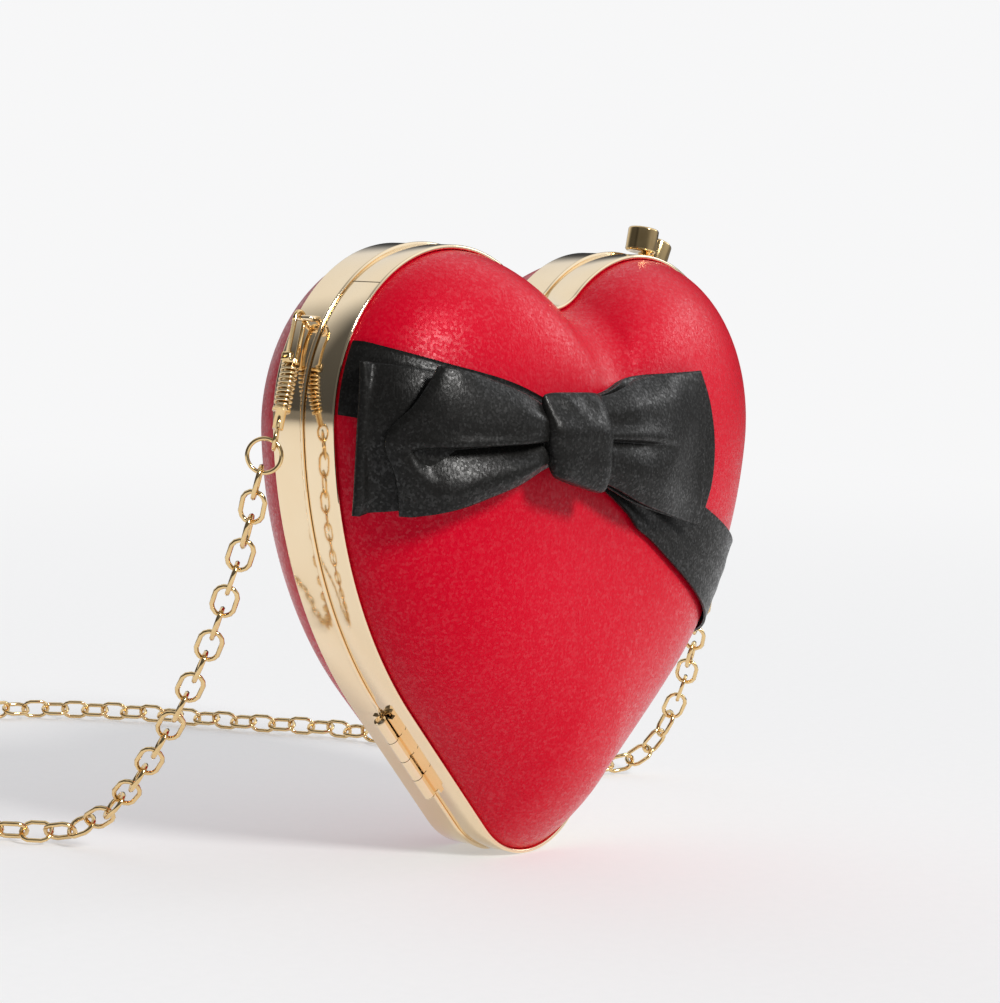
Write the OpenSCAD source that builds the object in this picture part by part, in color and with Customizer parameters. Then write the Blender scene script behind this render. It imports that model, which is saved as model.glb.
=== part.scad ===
// Heart shaped evening purse: two domed halves in metal frames, joined by a side hinge,
// closed by a kiss clasp on top, with a knotted bow and a detachable link chain.
// Millimetres. The front faces -Y, up is +Z, the two halves meet in the plane Y = 0,
// and the bottom tip stands on Z = 0.

/* [Heart outline] */
// Half the distance between the two lobe centres
lobe_x = 37; // [33:0.5:42]
// Height of the lobe centres
lobe_z = 109.4; // [100:0.2:120]
// Radius of each lobe
lobe_r = 40.6; // [38:0.2:44]
// Radius of the hollow between the lobes
cleft_r = 15; // [11:0.5:18]
// Length of the straight flank between the tip and the long shoulder curve
flank_len = 42.6; // [34:0.1:50]
// Angle below level at which a lobe passes into its shoulder
shoulder_drop = 5; // [2:1:10]
// Radius of the bottom tip
tip_r = 24; // [18:1:30]
// Depth of the small flat under the tip
tip_flat = 0.1; // [0.05:0.01:0.3]

/* [Frames] */
// Depth of the front frame, from the seam plane
front_depth = 9; // [7:0.5:12]
// Depth of the rear frame, from the seam plane
back_depth = 10; // [8:0.5:13]
// Thickness of the frame metal
wall = 1.1; // [0.9:0.1:1.5]
// Whole gap between the two closed frames
seam_gap = 0.3; // [0.2:0.05:0.5]
// Radius of the bead that runs round the rear frame beside the seam
bead_r = 0.5; // [0.4:0.05:0.7]
// How far inside the rear frame's edge the bead is centred
bead_back = 0.72; // [0.7:0.01:0.9]
// Height of the locating tongue above the rear frame's edge
tongue_h = 1.6; // [1:0.1:1.8]
// Thickness of the locating tongue
tongue_t = 0.7; // [0.5:0.05:0.9]
// Free space between the tongue and the front frame
tongue_gap = 0.25; // [0.2:0.05:0.4]
// Width and depth of the butt joint line on the front frame
joint_line = 0.3; // [0.2:0.05:0.5]
// Lobe angle of the butt joint line
joint_turn = 130; // [125:1:140]

/* [Shells] */
// Height of each dome above its frame
bulge = 25; // [18:0.5:30]
// Height of the point the dome curves are drawn from
crown_z = 86; // [80:1:92]
// Exponent of the dome curve, larger is fuller
fullness = 4; // [3:0.1:5]
// Roundness of the dome edge at the sides
side_round = 1.55; // [1.2:0.05:2]
// Roundness of the dome edge towards the tip
tip_round = 1; // [0.9:0.05:1.4]
// How far the dome edge sits below the frame's lip
edge_sink = 0.6; // [0.3:0.1:1]
// Space between the frame and the satin cover
cover_inset = 0.15; // [0.1:0.01:0.25]
// Thickness of the satin cover
cover_t = 0.5; // [0.4:0.05:0.8]
// Thickness of the moulded shell
shell_t = 1.5; // [1:0.1:2]
// Thickness of the lining
lining_t = 0.5; // [0.3:0.05:0.6]
// Space between two layers
layer_gap = 0.08; // [0.06:0.01:0.12]
// Distance from the seam to the turned-in edge of the cover
cover_skirt = 5.1; // [5:0.1:6]
// Distance from the seam to the edge of the shell and lining
shell_skirt = 2.2; // [2.1:0.1:3]

/* [Side hinge] */
// Length of one knuckle
knuckle_len = 6.7; // [5:0.1:8]
// Space between two knuckles
knuckle_gap = 0.2; // [0.1:0.05:0.4]
// Outer radius of the knuckles
knuckle_r = 1.5; // [1.3:0.05:1.8]
// Radius of the hinge pin
pin_r = 0.65; // [0.5:0.05:0.8]
// Radial running clearance on the pin
pin_play = 0.05; // [0.02:0.01:0.08]
// Distance of the pin axis from the frame surface
pin_out = 1.6; // [1.55:0.05:2]
// Thickness of the two hinge leaves
leaf_t = 0.6; // [0.4:0.05:0.8]
// Depth of the leaves over the frames
leaf_h = 3.2; // [2.6:0.1:4]
// Depth of the leaf notch beside the other leaf's knuckles
leaf_notch = 1.7; // [1.65:0.05:2]
// Distance of the hinge's upper end below the start of the straight flank
hinge_start = 0.8; // [0:0.1:3]

/* [Kiss clasp] */
// Radius of each drum
drum_r = 4; // [3:0.1:4.5]
// Height of each drum
drum_h = 6.2; // [4:0.1:7]
// Height of the free neck below a drum
neck_h = 1.6; // [1.2:0.1:2.5]
// Radius of the neck
neck_r = 1.3; // [1:0.1:1.6]
// Radius of the shank that goes through the frame
shank_r = 0.85; // [0.6:0.05:1]
// Clearance of the shank in its hole
shank_play = 0.05; // [0.02:0.01:0.1]
// Radius of the riveted foot inside the frame
foot_r = 1.4; // [1.2:0.1:1.7]
// Thickness of the riveted foot
foot_t = 0.5; // [0.4:0.05:0.8]
// Distance of the shank holes from the seam
shank_in = 3.5; // [3.4:0.1:4]
// How far each drum centre stays from the seam
drum_in = 1.6; // [0.5:0.1:3]
// Lobe angle of the front frame's drum
front_drum_turn = 78.5; // [77:0.5:82]
// Lobe angle of the rear frame's drum
rear_drum_turn = 65.5; // [62:0.5:67]
// Rounding of the drum edges
drum_edge = 0.6; // [0.3:0.1:1]

/* [Lugs and hooks] */
// Lobe angle of the chain lugs' feet
lug_turn = 147; // [145:0.5:150]
// Length of the lug wire's arch from the frame
lug_rise = 3.6; // [3.5:0.05:3.8]
// Angle by which the lug's arch leans down the frame
lug_slope = 30; // [25:1:34]
// Half the distance between the lug's feet
lug_half = 2.3; // [2.2:0.1:2.6]
// Radius of the lug wire
lug_wire = 0.7; // [0.6:0.05:0.8]
// Distance of the lug from the seam
lug_in = 5; // [4.8:0.1:5.6]
// Radius of the hook wire
hook_wire = 0.55; // [0.45:0.05:0.6]
// Radius of the hook's top bend
hook_bend = 1.6; // [1.55:0.05:1.7]
// Angle of the hook from upright, seen from the front
hook_lean = 21.5; // [20:0.5:22]
// Angle by which the hook leans towards the seam
hook_tip = 7.5; // [6:0.5:8]
// Space between the hook's bend and the lug wire
hook_gap = 0.12; // [0.1:0.01:0.2]
// Distance from the bend centre to the collar above the coil
collar_down = 10.5; // [10:0.1:12]
// Radius of the two collars
collar_r = 2.1; // [2:0.05:2.2]
// Thickness of the two collars
collar_t = 0.8; // [0.7:0.05:1]
// Radius of the hook's core
core_r = 1.25; // [1.1:0.05:1.35]
// Mean radius of the coil
coil_r = 1.8; // [1.75:0.05:1.85]
// Radius of the coil wire
coil_wire = 0.34; // [0.3:0.01:0.34]
// Distance between two turns of the coil
coil_pitch = 1.1; // [1.1:0.01:1.2]
// Whole turns of the coil
coil_turns = 9; // [7:1:10]
// Space between the coil and each collar
coil_play = 0.05; // [0.05:0.01:0.1]
// Mean radius of the hook's eye
eye_r = 2.4; // [2.35:0.05:2.5]
// Radius of the eye's wire
eye_wire = 0.45; // [0.4:0.01:0.5]
// Turn of the eye about the hook's axis
eye_turn = 51; // [46:1:56]
// Length of core between the lower collar and the eye
eye_neck = 4.3; // [3:0.1:5]

/* [Hook gates] */
// Length of the fixed stub that the gate closes against
stub_len = 1.2; // [1:0.1:1.6]
// Space between the stub and the gate's free end
gate_gap = 0.1; // [0.05:0.01:0.2]
// Radius of the gate's pivot barrel
barrel_r = 0.8; // [0.7:0.05:0.9]
// Radius of the gate's pivot pin
gate_pin_r = 0.35; // [0.3:0.01:0.4]
// Radial running clearance of the gate
gate_play = 0.04; // [0.02:0.01:0.06]
// Width of the barrel
barrel_w = 1.2; // [1:0.1:1.4]
// Side clearance of the barrel in its fork
barrel_play = 0.1; // [0.05:0.01:0.15]
// Thickness of each cheek of the fork
cheek_t = 0.45; // [0.4:0.05:0.6]
// Height of the gate's pivot above the collar
pivot_up = 1; // [0.95:0.05:1.3]

/* [Jump rings] */
// Mean radius of the jump rings
ring_r = 3.9; // [3.7:0.1:4.5]
// Radius of the ring wire
ring_wire = 0.5; // [0.4:0.05:0.55]
// Angle of the rings' faces from the seam plane
ring_turn = 51; // [40:1:60]
// Angle by which each ring is pulled backwards
ring_pull = 32; // [26:1:34]
// Distance between the centres of eye and ring
ring_drop = 4.55; // [4.5:0.05:4.6]

/* [Chain] */
// Mean radius of a link's round ends
link_bend = 2.7; // [2.4:0.1:3]
// Length of a link's straight sides
link_side = 2.2; // [2:0.1:3]
// Radius of the link wire
link_wire = 0.6; // [0.5:0.05:0.65]
// Play between two linked wires along the chain
link_play = 0.25; // [0.22:0.01:0.35]
// Height of the chain's centreline on the ground
chain_lie = 3.2; // [3.15:0.05:3.5]
// Radius of the coiled spare length, at its outermost turn
coil_out = 34; // [32:1:36]
// Distance between two turns of the coiled spare length
coil_step = 8; // [7.5:0.5:9]
// Height between the two layers of the coiled spare length
coil_rise = 6.2; // [6:0.1:7]
// Distance of the coiled spare length to the left
coil_x = -68; // [-70:1:-66]
// Distance of the coiled spare length behind the purse
coil_y = 188; // [186:1:190]

/* [Sash and bow] */
// Thickness of the sash
sash_t = 0.6; // [0.4:0.1:1]
// Space between the sash and the cover
sash_lift = 0.75; // [0.7:0.05:1]
// Height of the knot's centre
bow_z = 107; // [104:1:110]
// Distance of the knot to the left of the middle
bow_left = 30; // [28:1:32]
// Reach of the bow's rear layer to the left of the knot's centre
rear_reach_left = 47.5; // [44:0.5:49]
// Reach of the bow's rear layer to the right of the knot's centre
rear_reach_right = 58; // [54:0.5:60]
// Half the height of the rear layer at its ends
rear_half = 18; // [16:0.5:19]
// Thickness of the rear layer
rear_layer_t = 2; // [1.5:0.1:3]
// Reach of the front layer to the left of the knot's centre
front_reach_left = 40.5; // [38:0.5:43]
// Reach of the front layer to the right of the knot's centre
front_reach_right = 54; // [50:0.5:56]
// Half the height of the front layer at its ends
front_half = 17.5; // [15:0.5:18]
// Thickness of the front layer where it is fullest
front_layer_t = 6; // [5:0.5:8]
// Half the width of the knot
knot_half_w = 12.5; // [11:0.5:14]
// Half the height of the knot
knot_half_h = 11; // [10:0.5:12]
// Depth of the knot in front of the layers
knot_depth = 5; // [4:0.5:7]
// Space between two layers of cloth
bow_gap = 0.35; // [0.3:0.05:0.6]
// Height of the bow's left end in front of the seam plane
bow_stand = 13; // [12:0.5:15]

/* [Hidden] */

gold = [0.86, 0.76, 0.55];
pale_gold = [0.93, 0.86, 0.70];
satin_red = [0.72, 0.02, 0.14];
board_grey = [0.55, 0.53, 0.50];
lining_black = [0.12, 0.12, 0.12];
satin_black = [0.16, 0.16, 0.15];

fine = 96;
wire_fn = 40;
eps = 0.02;

// Outline of the heart in the seam plane: tip arc, straight flank, shoulder, lobe, cleft
function dir(a) = [cos(a), sin(a)];
cleft_z = lobe_z + sqrt(pow(lobe_r + cleft_r, 2) - lobe_x * lobe_x);
cleft_turn = atan2(cleft_z - lobe_z, -lobe_x);
lobe_centre = [lobe_x, lobe_z];
tip_centre = [0, tip_r];
cleft_centre = [0, cleft_z];
shoulder_way = dir(-shoulder_drop);
shoulder_start = lobe_centre + lobe_r * shoulder_way - tip_centre;
shoulder_r = (shoulder_start * shoulder_start - tip_r * tip_r - flank_len * flank_len)
  / (2 * (shoulder_start * shoulder_way - tip_r));
shoulder_centre = lobe_centre + (lobe_r - shoulder_r) * shoulder_way;
centre_span = shoulder_centre - tip_centre;
flank_a = atan2(centre_span[1], centre_span[0]) - acos((tip_r - shoulder_r) / norm(centre_span));
flank_top = shoulder_centre + shoulder_r * dir(flank_a);
flank_low = tip_centre + tip_r * dir(flank_a);

// Points and outward directions round the edge, from the tip up the right side to the cleft
tip_steps = 3;
flank_steps = 2;
shoulder_steps = 4;
lobe_steps = 11;
cleft_steps = 4;
function right_edge(k) = concat(
  [for (i = [0:tip_steps - 1])
    let (a = -90 + (flank_a + 90) * i / tip_steps) [tip_centre + tip_r * dir(a), dir(a)]],
  [for (i = [0:flank_steps - 1])
    [flank_low + (flank_top - flank_low) * i / flank_steps, dir(flank_a)]],
  [for (i = [0:k:shoulder_steps - 1])
    let (a = flank_a - (shoulder_drop + flank_a) * i / shoulder_steps)
    [shoulder_centre + shoulder_r * dir(a), dir(a)]],
  [for (i = [0:k:lobe_steps - 1])
    let (a = -shoulder_drop + (cleft_turn + shoulder_drop) * i / lobe_steps)
    [lobe_centre + lobe_r * dir(a), dir(a)]],
  [for (i = [0:cleft_steps])
    let (a = cleft_turn - 180 + (90 - cleft_turn) * i / cleft_steps)
    [cleft_centre + cleft_r * dir(a), -dir(a)]]
);
function whole_edge(k) = let (r = right_edge(k), n = len(r))
  concat(r, [for (i = [n - 2:-1:1]) [[-r[i][0][0], r[i][0][1]], [-r[i][1][0], r[i][1][1]]]]);

// Dome surface over the outline
crown = [0, crown_z];
level_power = 6;
edge_h = front_depth - edge_sink;
back_edge_h = back_depth - edge_sink;
cover_in = wall + cover_inset;
shell_in = cover_in + cover_t + layer_gap;
lining_in = shell_in + shell_t + layer_gap;
function side_share(p) = let (d = p - crown) 1 - pow(abs(d[1]) / max(norm(d), eps), level_power);
function edge_round(p) = p[1] > crown[1] ? side_round
  : tip_round + (side_round - tip_round) * side_share(p);
function rise(share, p, height) =
  height * pow(max(0, 1 - pow(share, fullness)), 1 / edge_round(p));

// Distance from the crown point to the outline, moved inwards by "in", in the direction a
function hit_out(o, r, d) = let (v = crown - o, b = v * d) -b + sqrt(b * b - v * v + r * r);
function hit_in(o, r, d) = let (v = crown - o, b = v * d) -b - sqrt(b * b - v * v + r * r);
function turn_of(p) = atan2(p[1] - crown[1], p[0] - crown[0]);
function reach_at(a, in) = let (
    d = dir(a),
    n = dir(flank_a),
    low = turn_of(flank_low - in * n),
    high = turn_of(flank_top - in * n),
    lobe_from = turn_of(lobe_centre + (lobe_r - in) * dir(-shoulder_drop)),
    lobe_to = turn_of(lobe_centre + (lobe_r - in) * dir(cleft_turn))
  )
  a < low ? hit_out(tip_centre, tip_r - in, d)
  : a < high ? ((flank_top - in * n - crown) * n) / (d * n)
  : a < lobe_from ? hit_out(shoulder_centre, shoulder_r - in, d)
  : a < lobe_to ? hit_out(lobe_centre, lobe_r - in, d)
  : hit_in(cleft_centre, cleft_r + in, d);
function share_at(x, z, in) = let (p = [abs(x), z], d = p - crown)
  norm(d) / reach_at(atan2(d[1], d[0]), in);
// Height of the front cover above the seam plane at x, z
share_limit = 0.9985;
function cover_h(x, z) = edge_h + rise(min(share_limit, share_at(x, z, cover_in)), [abs(x), z], bulge);
tilt_step = 0.4;
function cover_normal(x, z) = let (
    gx = (cover_h(x + tilt_step, z) - cover_h(x - tilt_step, z)) / (2 * tilt_step),
    gz = (cover_h(x, z + tilt_step) - cover_h(x, z - tilt_step)) / (2 * tilt_step),
    v = [-gx, -gz, 1]
  ) v / norm(v);
// Point above the front cover, in part axes, lifted along the surface's own direction
function over_cover(x, z, lift) = let (n = cover_normal(x, z), h = cover_h(x, z))
  [x + n[0] * lift, -(h + n[2] * lift), z + n[1] * lift];

// Turns a shape drawn flat (x right, y up, z to the front) into the upright position
module upright() {
  rotate([90, 0, 0])
    children();
}

// Skin over a list of rings, each a list of points that runs out along one face and back
module skin(rings) {
  m = len(rings[0]);
  half = floor(m / 2);
  last = len(rings) - 1;
  points = [for (r = rings) each r];
  sides = [for (k = [0:last - 1]) for (i = [0:m - 1])
    let (a = k * m + i, b = k * m + (i + 1) % m, c = b + m, d = a + m)
    each [[a, b, c], [a, c, d]]];
  first_cap = [for (i = [0:half - 2]) each [[i + 1, i, m - 1 - i], [i + 1, m - 1 - i, m - 2 - i]]];
  base = last * m;
  last_cap = [for (i = [0:half - 2])
    each [[base + i, base + i + 1, base + m - 1 - i], [base + i + 1, base + m - 2 - i, base + m - 1 - i]]];
  polyhedron(points = points, faces = concat(sides, first_cap, last_cap));
}

// One domed layer: outer dome, skirt, inner dome
ring_shares = [0.985, 0.95, 0.88, 0.77, 0.58, 0.32];
module domed_layer(in, thick, skirt, from_h, height, k) {
  edge = whole_edge(k);
  m = len(edge);
  shares = concat([1, 1], ring_shares);
  rows = len(shares);
  function at(i, row, inset, top, foot) =
    let (e = edge[i][0] - inset * edge[i][1], p = crown + shares[row] * (e - crown))
    [p[0], p[1], row == 0 ? foot : from_h + rise(shares[row], p, top)];
  outer = [for (row = [0:rows - 1]) for (i = [0:m - 1]) at(i, row, in, height, skirt)];
  inner = [for (row = [0:rows - 1]) for (i = [0:m - 1]) at(i, row, in + thick, height - thick, skirt)];
  apex = [[crown[0], crown[1], from_h + height], [crown[0], crown[1], from_h + height - thick]];
  base = rows * m;
  top_row = (rows - 1) * m;
  bands = [for (row = [0:rows - 2]) for (i = [0:m - 1])
    let (a = row * m + i, b = row * m + (i + 1) % m, c = b + m, d = a + m)
    each [[a, c, b], [a, d, c], [base + a, base + b, base + c], [base + a, base + c, base + d]]];
  caps = [for (i = [0:m - 1])
    let (a = top_row + i, b = top_row + (i + 1) % m)
    each [[a, 2 * base, b], [base + a, base + b, 2 * base + 1]]];
  foot = [for (i = [0:m - 1]) let (b = (i + 1) % m) each [[i, b, base + b], [i, base + b, base + i]]];
  polyhedron(points = concat(outer, inner, apex), faces = concat(bands, caps, foot));
}

// Stations for the frames: point, outward direction, share of the bead
frame_tip_steps = 8;
frame_shoulder_steps = 10;
frame_lobe_steps = 22;
frame_cleft_steps = 7;
bead_ramp = 0.3;
flank_margin = 0.1;
leaf_room = 0.25;
hinge_len = 4 * knuckle_len + 3 * knuckle_gap;
hinge_high = hinge_start - leaf_room;
hinge_low = hinge_start + hinge_len + leaf_room;
function frame_half(hinge_bead) = concat(
  [for (i = [0:frame_tip_steps - 1])
    let (a = -90 + (flank_a + 90) * i / frame_tip_steps) [tip_centre + tip_r * dir(a), dir(a), 1]],
  [for (t = [[flank_len, 1], [hinge_low + bead_ramp, 1], [hinge_low, hinge_bead],
    [hinge_high, hinge_bead], [max(flank_margin, hinge_high - bead_ramp), 1]])
    [flank_top + (flank_low - flank_top) * t[0] / flank_len, dir(flank_a), t[1]]],
  [for (i = [0:frame_shoulder_steps - 1])
    let (a = flank_a - (shoulder_drop + flank_a) * i / frame_shoulder_steps)
    [shoulder_centre + shoulder_r * dir(a), dir(a), 1]],
  [for (i = [0:frame_lobe_steps - 1])
    let (a = -shoulder_drop + (cleft_turn + shoulder_drop) * i / frame_lobe_steps)
    [lobe_centre + lobe_r * dir(a), dir(a), 1]],
  [for (i = [0:frame_cleft_steps])
    let (a = cleft_turn - 180 + (90 - cleft_turn) * i / frame_cleft_steps)
    [cleft_centre + cleft_r * dir(a), -dir(a), 1]]
);
frame_right = frame_half(1);
frame_left = frame_half(0);
frame_stations = concat(frame_right, [for (i = [len(frame_left) - 2:-1:1]) let (t = frame_left[i])
  [[-t[0][0], t[0][1]], [-t[1][0], t[1][1]], t[2]]]);

// A closed tube of the given profile round the frame stations; a profile point is
// outwards, to the front, and the share by which the bead moves it outwards
module frame_sweep(profile) {
  m = len(profile);
  n = len(frame_stations);
  points = [for (t = frame_stations) for (q = profile)
    let (e = t[0] + (q[0] + t[2] * q[2]) * t[1]) [e[0], e[1], q[1]]];
  faces = [for (k = [0:n - 1]) for (i = [0:m - 1])
    let (j = (i + 1) % m, next = ((k + 1) % n) * m, a = k * m + i, b = k * m + j, c = next + j, d = next + i)
    each [[a, c, b], [a, d, c]]];
  polyhedron(points = points, faces = faces);
}

// The small flat the purse stands on
module tip_cut() {
  cut = 2 * tip_r;
  translate([-cut, -cut, tip_flat - cut])
    cube([2 * cut, 2 * cut, cut]);
}

// Places children on a lobe's outer surface: x outwards, z to the front, right side positive
module on_lobe(side, turn, h) {
  upright()
    mirror([side > 0 ? 0 : 1, 0, 0])
      translate([lobe_x, lobe_z, h])
        rotate([0, 0, turn])
          translate([lobe_r, 0, 0])
            children();
}

// Hinge line on the left flank: x outwards, y up along the flank, z to the front
module on_hinge() {
  upright()
    mirror([1, 0, 0])
      translate([flank_top[0], flank_top[1], 0])
        rotate([0, 0, flank_a])
          translate([0, -hinge_start, 0])
            children();
}
module hinge_rod(r, from, length) {
  translate([pin_out, -from, 0])
    rotate([90, 0, 0])
      cylinder(r = r, h = length, $fn = 48);
}

front_edge = seam_gap / 2;
lip_r = wall / 2;
lip_turns = [0, 45, 90, 135, 180];
front_profile = concat(
  [[-wall, front_edge, 0], [0, front_edge, 0]],
  [for (a = lip_turns) [lip_r * (cos(a) - 1), front_depth - lip_r + lip_r * sin(a), 0]]
);
tongue_root = 2;
tongue_weld = 0.8;
tongue_in = wall + tongue_gap;
bead_turns = [-84, -45, 0, 45, 84];
back_profile = concat(
  [[0, -front_edge, 0], [-wall, -front_edge, 0], [-wall, -tongue_weld, 0],
    [-tongue_in, -tongue_weld, 0], [-tongue_in, tongue_h, 0],
    [-tongue_in - tongue_t, tongue_h, 0], [-tongue_in - tongue_t, -tongue_root, 0],
    [-wall, -tongue_root, 0]],
  [for (a = lip_turns) [-lip_r * (cos(a) + 1), lip_r - back_depth - lip_r * sin(a), 0]],
  [for (a = bead_turns) [0, bead_r * sin(a) - bead_back, bead_r * cos(a)]]
);

module shank_hole(side, turn, h) {
  on_lobe(side, turn, h)
    translate([-3 * wall, 0, 0])
      rotate([0, 90, 0])
        cylinder(r = shank_r + shank_play, h = 4 * wall, $fn = 48);
}

module back_frame() {
  color(gold)
    difference() {
      upright()
        frame_sweep(back_profile);
      tip_cut();
      shank_hole(1, rear_drum_turn, -shank_in);
    }
}

module front_frame() {
  groove_h = front_depth;
  color(gold)
    difference() {
      upright()
        frame_sweep(front_profile);
      tip_cut();
      shank_hole(1, front_drum_turn, shank_in);
      on_lobe(-1, 180 - joint_turn, groove_h / 2)
        cube([2 * joint_line, joint_line, 2 * groove_h], center = true);
    }
}

module back_cover() {
  color(satin_red)
    upright()
      mirror([0, 0, 1])
        domed_layer(cover_in, cover_t, cover_skirt, back_edge_h, bulge, 1);
}
module back_shell() {
  color(board_grey)
    upright()
      mirror([0, 0, 1])
        domed_layer(shell_in, shell_t, shell_skirt, back_edge_h, bulge - cover_t - layer_gap, 1);
}
module back_lining() {
  color(lining_black)
    upright()
      mirror([0, 0, 1])
        domed_layer(lining_in, lining_t, shell_skirt, back_edge_h,
          bulge - cover_t - shell_t - 2 * layer_gap, 2);
}
module front_cover() {
  color(satin_red)
    upright()
      domed_layer(cover_in, cover_t, cover_skirt, edge_h, bulge, 1);
}
module front_shell() {
  color(board_grey)
    upright()
      domed_layer(shell_in, shell_t, shell_skirt, edge_h, bulge - cover_t - layer_gap, 1);
}
module front_lining() {
  color(lining_black)
    upright()
      domed_layer(lining_in, lining_t, shell_skirt, edge_h,
        bulge - cover_t - shell_t - 2 * layer_gap, 2);
}

// A leaf lies on its frame and carries every second knuckle
module hinge_leaf(first, to_front, bore) {
  low = to_front > 0 ? front_edge : -leaf_h;
  on_hinge()
    difference() {
      union() {
        translate([0, -hinge_len, low])
          cube([leaf_t, hinge_len, leaf_h - front_edge]);
        for (i = [first, first + 2]) {
          hinge_rod(knuckle_r, i * (knuckle_len + knuckle_gap), knuckle_len);
        }
      }
      for (i = [1 - first, 3 - first]) {
        translate([-eps, -i * (knuckle_len + knuckle_gap) - knuckle_len - knuckle_gap, -leaf_notch])
          cube([2 * pin_out, knuckle_len + 2 * knuckle_gap, 2 * leaf_notch]);
      }
      hinge_rod(bore, -knuckle_gap, hinge_len + 2 * knuckle_gap);
    }
}
module rear_hinge_leaf() {
  color(gold)
    hinge_leaf(0, -1, pin_r);
}
module front_hinge_leaf() {
  color(gold)
    hinge_leaf(1, 1, pin_r + pin_play);
}
module hinge_pin() {
  head_t = 0.35;
  color(gold)
    on_hinge() {
      hinge_rod(pin_r, 0, hinge_len);
      hinge_rod(knuckle_r, -head_t, head_t);
      hinge_rod(knuckle_r, hinge_len, head_t);
    }
}

// Drum, neck, slanting arm, shank through the frame and riveted foot
module clasp_knob(turn, from_h, drum_at) {
  on_lobe(1, turn, 0)
    rotate([0, 90, 0]) {
      translate([-drum_at, 0, neck_h])
        rotate_extrude($fn = fine)
          difference() {
            square([drum_r, drum_h]);
            for (z = [0, drum_h - drum_edge]) {
              translate([drum_r - drum_edge, z])
                square(drum_edge);
            }
          }
      for (z = [drum_edge, drum_h - drum_edge]) {
        translate([-drum_at, 0, neck_h + z])
          rotate_extrude($fn = fine)
            translate([drum_r - drum_edge, 0])
              circle(r = drum_edge, $fn = 24);
      }
      translate([-from_h, 0, 0])
        cylinder(r = neck_r, h = neck_h + eps, $fn = 48);
      translate([-from_h, 0, -wall - foot_t / 2])
        cylinder(r = shank_r, h = wall + foot_t, $fn = 48);
      translate([-from_h, 0, -wall - foot_t])
        cylinder(r = foot_r, h = foot_t, $fn = 48);
    }
}
module front_knob() {
  color(pale_gold)
    clasp_knob(front_drum_turn, shank_in, drum_in);
}
module rear_knob() {
  color(pale_gold)
    clasp_knob(rear_drum_turn, -shank_in, -drum_in);
}

// Arched wire lug across the frame, leaning down along it
lug_root = 0.7;
module lug(side) {
  straight = lug_rise - lug_half;
  color(gold)
    on_lobe(side, 180 - lug_turn, -lug_in)
      rotate([0, 0, -lug_slope])
        rotate([90, 0, 0]) {
          translate([straight, 0, 0])
            rotate_extrude(angle = 180, start = -90, $fn = wire_fn)
              translate([lug_half, 0])
                circle(r = lug_wire, $fn = wire_fn);
          for (s = [-1, 1]) {
            translate([-lug_root, s * lug_half, 0])
              rotate([0, 90, 0])
                cylinder(r = lug_wire, h = straight + lug_root, $fn = wire_fn);
          }
        }
}

// Hooks. Right-hand side in part axes, the left is its mirror image. In the hook's own axes
// z runs up the hook, x outwards, and the origin is the centre of the top bend.
lug_foot_turn = 180 - lug_turn;
lug_top = lobe_centre + lobe_r * dir(lug_foot_turn) + lug_rise * dir(lug_foot_turn - lug_slope);
hook_up = [-sin(hook_lean) * cos(hook_tip), sin(hook_tip), cos(hook_lean) * cos(hook_tip)];
bend_rise = hook_bend - hook_wire - hook_gap - lug_wire;
hook_at = [lug_top[0], lug_in, lug_top[1]] - bend_rise * hook_up;
coil_room = coil_turns * coil_pitch + 2 * (coil_wire + coil_play);
coil_top = -collar_down - collar_t;
low_collar = coil_top - coil_room;
eye_down = collar_down + 2 * collar_t + coil_room + eye_neck + eye_r;
module on_side(side) {
  mirror([side > 0 ? 0 : 1, 0, 0])
    children();
}
module on_hook(side) {
  on_side(side)
    translate(hook_at)
      rotate([-hook_tip, -hook_lean, 0])
        children();
}
pivot_z = -collar_down + pivot_up;
module gate_rod(r, length) {
  translate([hook_bend, length / 2, pivot_z])
    rotate([90, 0, 0])
      cylinder(r = r, h = length, $fn = 48);
}
module hook(side) {
  cheek_w = 2 * barrel_r;
  fork_w = barrel_w + 2 * barrel_play;
  color(pale_gold)
    on_hook(side)
      difference() {
        union() {
          rotate([90, 0, 0])
            rotate_extrude(angle = 180, $fn = wire_fn)
              translate([hook_bend, 0])
                circle(r = hook_wire, $fn = wire_fn);
          translate([-hook_bend, 0, -collar_down - collar_t / 2])
            cylinder(r = hook_wire, h = collar_down + collar_t / 2, $fn = wire_fn);
          translate([hook_bend, 0, -stub_len])
            cylinder(r = hook_wire, h = stub_len, $fn = wire_fn);
          translate([0, 0, coil_top])
            cylinder(r = collar_r, h = collar_t, $fn = 48);
          translate([0, 0, low_collar - collar_t])
            cylinder(r = collar_r, h = collar_t, $fn = 48);
          translate([0, 0, eye_r - eye_down])
            cylinder(r = core_r, h = eye_down - eye_r - collar_down - collar_t / 2, $fn = 48);
          translate([0, 0, -eye_down])
            rotate([0, 0, eye_turn - 90])
              rotate([90, 0, 0])
                rotate_extrude($fn = wire_fn)
                  translate([eye_r, 0])
                    circle(r = eye_wire, $fn = wire_fn);
          gate_rod(barrel_r, fork_w + 2 * cheek_t);
          translate([hook_bend - barrel_r, -fork_w / 2 - cheek_t, -collar_down - collar_t / 2])
            cube([cheek_w, fork_w + 2 * cheek_t, pivot_up + collar_t / 2]);
        }
        translate([hook_bend - cheek_w, -fork_w / 2, -collar_down])
          cube([2 * cheek_w, fork_w, pivot_up + cheek_w]);
        gate_rod(gate_pin_r, 2 * fork_w + 2 * cheek_t);
      }
}
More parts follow.
